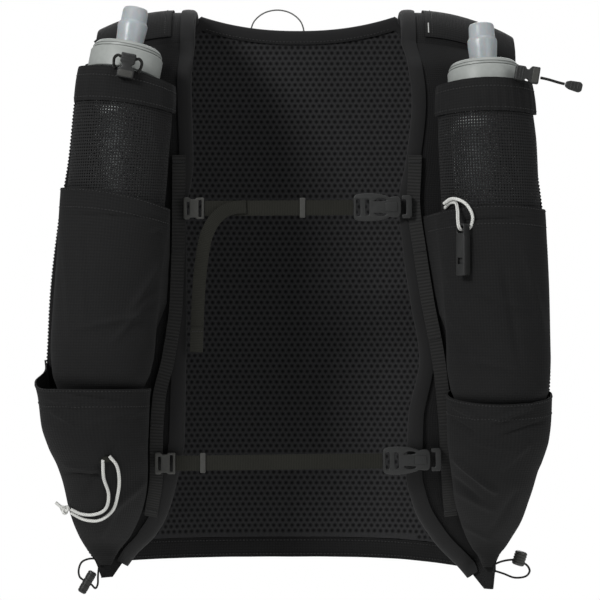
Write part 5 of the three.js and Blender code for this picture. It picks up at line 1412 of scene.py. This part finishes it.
# Hard plastic parts, moulded with softened edges: buckles, locks, the whistle and the pull end in black nylon,
# the hooks that clip over the rails, the keepers that hold the strap ends and the lock buttons in dark grey.
hard = mottled(
    "black_nylon", "plastic", (0.03, 0.031, 0.03), 0.42, 500.0, (0.012, 0.0125, 0.012), (0.021, 0.0215, 0.021),
    depth=0.00012,
)
bright_hard = mottled(
    "grey_nylon", "plastic", (0.09, 0.09, 0.085), 0.35, 500.0, (0.034, 0.034, 0.031), (0.06, 0.06, 0.055),
    depth=0.00012,
)


def rounded(outline, radius):
    """An outline with each corner cut to a small curve."""
    points, result = [Vector(p) for p in outline], []
    for k, point in enumerate(points):
        before, after = points[k - 1] - point, points[(k + 1) % len(points)] - point
        a = point + before.normalized() * min(radius, before.length * 0.42)
        b = point + after.normalized() * min(radius, after.length * 0.42)
        for t in (0, 0.25, 0.5, 0.75, 1):
            result.append((1 - t) ** 2 * a + 2 * t * (1 - t) * point + t * t * b)
    return result


def plate(name, outline, windows, thickness, frame_matrix, radius=0.8, bevel=0.45):
    """A flat moulded part from an outline and windows in millimetres, as thick as given, with round edges."""
    curve = bpy.data.curves.new(name, "CURVE")
    curve.dimensions, curve.fill_mode = "2D", "BOTH"
    curve.extrude, curve.bevel_depth = (thickness / 2 - bevel) / 1000, bevel / 1000
    curve.offset, curve.bevel_resolution = -bevel / 1000, 2
    for line in [outline, *windows]:
        corners = rounded(line, radius)
        spline = curve.splines.new("POLY")
        spline.points.add(len(corners) - 1)
        for point, corner in zip(spline.points, corners):
            point.co = (corner[0] / 1000, corner[1] / 1000, 0, 1)
        spline.use_cyclic_u = True
    piece = bpy.data.objects.new(name, curve)
    bpy.context.scene.collection.objects.link(piece)
    pick(piece)
    bpy.ops.object.convert(target="MESH")
    piece = bpy.context.view_layer.objects.active
    upright = Matrix(((1, 0, 0, 0), (0, 0, -1, 0), (0, 1, 0, 0), (0, 0, 0, 1)))
    return tidied(piece, frame_matrix @ upright)


def window(x, z, wide, tall):
    """A rectangle round a point, as an outline."""
    left, right, foot, top = x - wide / 2, x + wide / 2, z - tall / 2, z + tall / 2
    return [(left, foot), (right, foot), (right, top), (left, top)]


def mirrored(half):
    """A whole outline from its upper half."""
    return half + [(x, -z) for x, z in half[::-1]]


def turned_to(x, y, z, way=(1, 0, 0)):
    """A frame at a point with its x axis in the front plane along a way."""
    return axes((x, y, z), (-way[2], 0, way[0]), way)


hook_half = [(0, 7.2), (1.2, 8), (4, 8), (5, 6.6), (8.6, 6.6), (9.6, 7.8), (15, 7.8)]
socket = [
    (0, -8.4), (6, -8.4), (7.4, -7), (7.4, 7), (6, 8.4), (0, 8.4), (0, 5.4), (3, 5.4), (3, -5.4), (0, -5.4),
]
CLIP_HALF, MOULDING = 10.2, 3.6
clip_shares = [
    (0, 0.72), (1.4, 0.9), (5, 0.98), (12, 1), (19, 0.94), (24.5, 0.8), (26.5, 0.68), (29.5, 0.76), (33, 0.74),
    (34.4, 0.55), (34.8, 0.2),
]
clip_half = [(x, share * CLIP_HALF) for x, share in clip_shares]
slot_above = [(14.5, 4.4), (18.5, 6.6), (23, 6.2), (24.6, 4.8), (19.5, 4.2)]
slot_below = [(x, -z) for x, z in slot_above]
for level, y, hook, keeper, clip, way, socket_at in (
    (
        "upper", UPPER_Y, (-0.0836, -0.143173), (0.0033, -0.1427), (0.0405, -0.142477), (0.99993, 0, 0.012),
        (0.075897, -0.142052),
    ),
    (
        "lower", LOWER_Y, (-0.1046, -0.329325), (-0.0695, -0.329), (0.062, -0.327422), (0.99971, 0, 0.02399),
        (0.09739, -0.326573),
    ),
):
    part = plate(
        f"rail_hook_{level}_moulding", mirrored(hook_half), [window(3.4, 0, 2, 10), window(12.1, 0, 2.2, 12.4)],
        MOULDING, turned_to(hook[0], y, hook[1]),
    )
    wear(part, bright_hard, "vest", f"rail_hook_{level}")
    for label, thickness, off, bevel, nodes in (
        ("front", 1.2, -0.0012, 0.4, [f"keeper_{level}"]), ("back", 1.0, 0.0013, 0.3, []),
    ):
        frame_matrix = turned_to(keeper[0], y + off, keeper[1])
        part = plate(f"keeper_{level}_{label}", window(0, 0, 4, 14.4), [], thickness, frame_matrix, 0.9, bevel)
        wear(part, bright_hard, "vest", *nodes)
    frame_matrix = turned_to(clip[0], y, clip[1], way)
    part = plate(
        f"buckle_clip_{level}_moulding", mirrored(clip_half),
        [window(3.4, 0, 2.8, 12.8), window(10, 0, 2.8, 12), slot_above, slot_below], MOULDING,
        frame_matrix, 1.4, 0.6,
    )
    wear(part, hard, "vest", f"buckle_clip_{level}")
    frame_matrix = frame_matrix @ Matrix.Translation((0, -0.002, 0))
    wear(plate(f"buckle_clip_{level}_ridge", window(27.6, 0, 9, 6.4), [], 1.0, frame_matrix, 1.2, 0.3), hard)
    frame_matrix = turned_to(socket_at[0], y, socket_at[1], way)
    part = plate(f"buckle_socket_{level}_moulding", socket, [], MOULDING, frame_matrix, 1.0, 0.5)
    wear(part, hard, "vest", f"buckle_socket_{level}")

# Whistle: a flat black pea-less whistle, hung by its eye on the white loop at the right middle pocket.
whistle_frame = Matrix.Translation((0.1179, -0.1214, -0.1555)) @ Matrix.Rotation(-0.68, 4, "Z")
outline = [(-3.3, 0), (3.3, 0), (3.3, -8), (3.75, -9.2), (3.75, -37), (-3.75, -37), (-3.75, -9.2), (-3.3, -8)]
whistle = plate("whistle_moulding", outline, [window(0, -4.1, 5, 5)], 7.5, whistle_frame, 0.9, 0.5)
bpy.ops.mesh.primitive_cube_add(size=1)
cutter = bpy.context.active_object
slot_place = whistle_frame @ Matrix.Translation((0, -0.0037, -0.0266))
cutter.data.transform(slot_place @ Matrix.Diagonal((0.0042, 0.004, 0.0046, 1)))
cut = whistle.modifiers.new("slot", "BOOLEAN")
cut.operation, cut.object, cut.solver = "DIFFERENCE", cutter, "EXACT"
pick(whistle)
bpy.ops.object.modifier_apply(modifier="slot")
bpy.data.objects.remove(cutter)
bpy.ops.object.shade_smooth_by_angle(angle=math.radians(30))
wear(whistle, hard, "vest", "whistle")

# Knot: the two white cords of the left lower pocket meet in a small overhand knot with one short end.
KNOT_SIZE, KNOT_CORD = 0.00092, 0.0012
knot_at = np.array((-0.1709, -0.0524, -0.3636))
t = np.linspace(0, 2 * math.pi, 60)
turns = np.stack([np.sin(t) + 2 * np.sin(2 * t), -np.sin(3 * t), np.cos(t) - 2 * np.cos(2 * t)], axis=1)
knot = tube("pocket_cord_knot_turns", knot_at + KNOT_SIZE * turns, KNOT_CORD, sides=12)
wear(knot, white_braid, "vest", "pocket_cord_knot")
end_points = [knot_at, knot_at + (-0.003, -0.001, 0.0022), knot_at + (-0.0068, -0.0006, 0.0052)]
end_line = smooth_path(end_points, np.linspace(0, 1, 16))
wear(tube("pocket_cord_knot_end", end_line, KNOT_CORD, sides=12), white_braid)

# Cord locks: small spring locks on the drawcords of the flask sleeves, with a ridged barrel and a button.
# The right one lies sideways and has a pull cord with a flat grip.
def leaning(x, y, z, turn):
    """A frame at a point, turned about the front-to-back axis."""
    return Matrix.Translation((x, y, z)) @ Matrix.Rotation(turn, 4, "Y")


lock = [
    (-6.1, -17.6), (6.1, -17.6), (6.1, -11.5), (3.4, -9.5), (3.4, -8), (5.3, -7), (5.3, 0), (-5.3, 0),
    (-5.3, -7), (-3.4, -8), (-3.4, -9.5), (-6.1, -11.5),
]
lock_frames = {
    "left": leaning(-0.1206, -0.1162, -0.0336, 0.2),
    "right": leaning(0.1556, -0.110257, -0.0466, 0.16 - math.pi / 2),
}
for name, frame_matrix in lock_frames.items():
    part = plate(f"cord_lock_{name}_moulding", lock, [], 8, frame_matrix, 1.0, 0.9)
    wear(part, hard, "vest", f"cord_lock_{name}")
    for k in range(3):
        ridge = frame_matrix @ Matrix.Translation((0, -0.0039, -0.0014 - 0.0021 * k))
        wear(plate(f"cord_lock_{name}_ridge_{k + 1}", window(0, 0, 9.4, 1.1), [], 0.8, ridge, 0.4, 0.3), hard)
    face = frame_matrix @ Matrix.Translation((0, -0.0039, -0.0146))
    wear(plate(f"cord_lock_{name}_button", window(0, 0, 10.4, 4.4), [], 0.9, face, 1.0, 0.35), bright_hard)

# The drawcord comes out of the left lock in two short bends, one each side, given in millimetres.
loop = [(5.0, 0, -3.4), (7.6, 0.4, -2.6), (9.8, 1.6, -4.4), (10.0, 3.2, -8), (8.6, 4.6, -12)]
for label, hand in (("a", -1), ("b", 1)):
    bend = [lock_frames["left"] @ Vector((hand * x / 1000, y / 1000, z / 1000)) for x, y, z in loop]
    line = smooth_path([tuple(point) for point in bend], np.linspace(0, 1, 24))
    wear(tube(f"cord_lock_left_loop_{label}", line, 0.0011, sides=8), black_elastic)

# The right lock's pull cord is a short piece of elastic, with a flat ridged grip moulded on to its end.
pull_frame = leaning(0.1734, -0.110257, -0.0506, 0.24)
pull_line = [
    tuple(pull_frame @ Vector((x, 0, 0.0002 * math.sin(x * 300)))) for x in np.linspace(0.0004, 0.0184, 14)
]
wear(tube("pull_cord_right_braid", pull_line, 0.00105, sides=10), black_elastic, "vest", "pull_cord_right")
grip = [
    (18.8, -1.8), (21.8, -3.2), (29.3, -3.9), (31.2, -2.4), (31.2, 2.4), (29.3, 3.9), (21.8, 3.2), (18.8, 1.8),
]
wear(plate("pull_end_right_moulding", grip, [], 4, pull_frame, 1.0, 0.9), hard, "vest", "pull_end_right")
for k in range(3):
    ridge = pull_frame @ Matrix.Translation((0.0232 + 0.0024 * k, -0.0019, 0))
    wear(plate(f"pull_end_ridge_{k + 1}", window(0, 0, 1, 5), [], 0.7, ridge, 0.4, 0.3), hard)

# Side locks: two barrel locks on the elastic loops at the bottom corners, the right one short and grey.
for name, x, z, turn, r, long, made in (
    ("left", -0.1584, -0.4219, 0.52, 0.0034, 0.018, hard),
    ("right", 0.1664, -0.404, 0.3, 0.0048, 0.011, bright_hard),
):
    half = long / 2
    profile = [(0, -half), (0.7 * r, -half), (0.92 * r, -half + 0.0006), (r, -half + 0.0016)]
    for k in range(4):
        place = -half + 0.0024 + (long - 0.0048) * k / 3
        profile += [(r, place - 0.0004), (0.93 * r, place - 0.0001)]
        profile += [(0.93 * r, place + 0.0002), (r, place + 0.0005)]
    profile += [(r, half - 0.0016), (0.92 * r, half - 0.0006), (0.7 * r, half), (0, half)]
    frame_matrix = leaning(x, 0.013, z, turn)
    barrel = turned_piece(f"side_lock_{name}_barrel", profile, frame_matrix, 40)
    wear(barrel, made, "vest", f"side_lock_{name}")
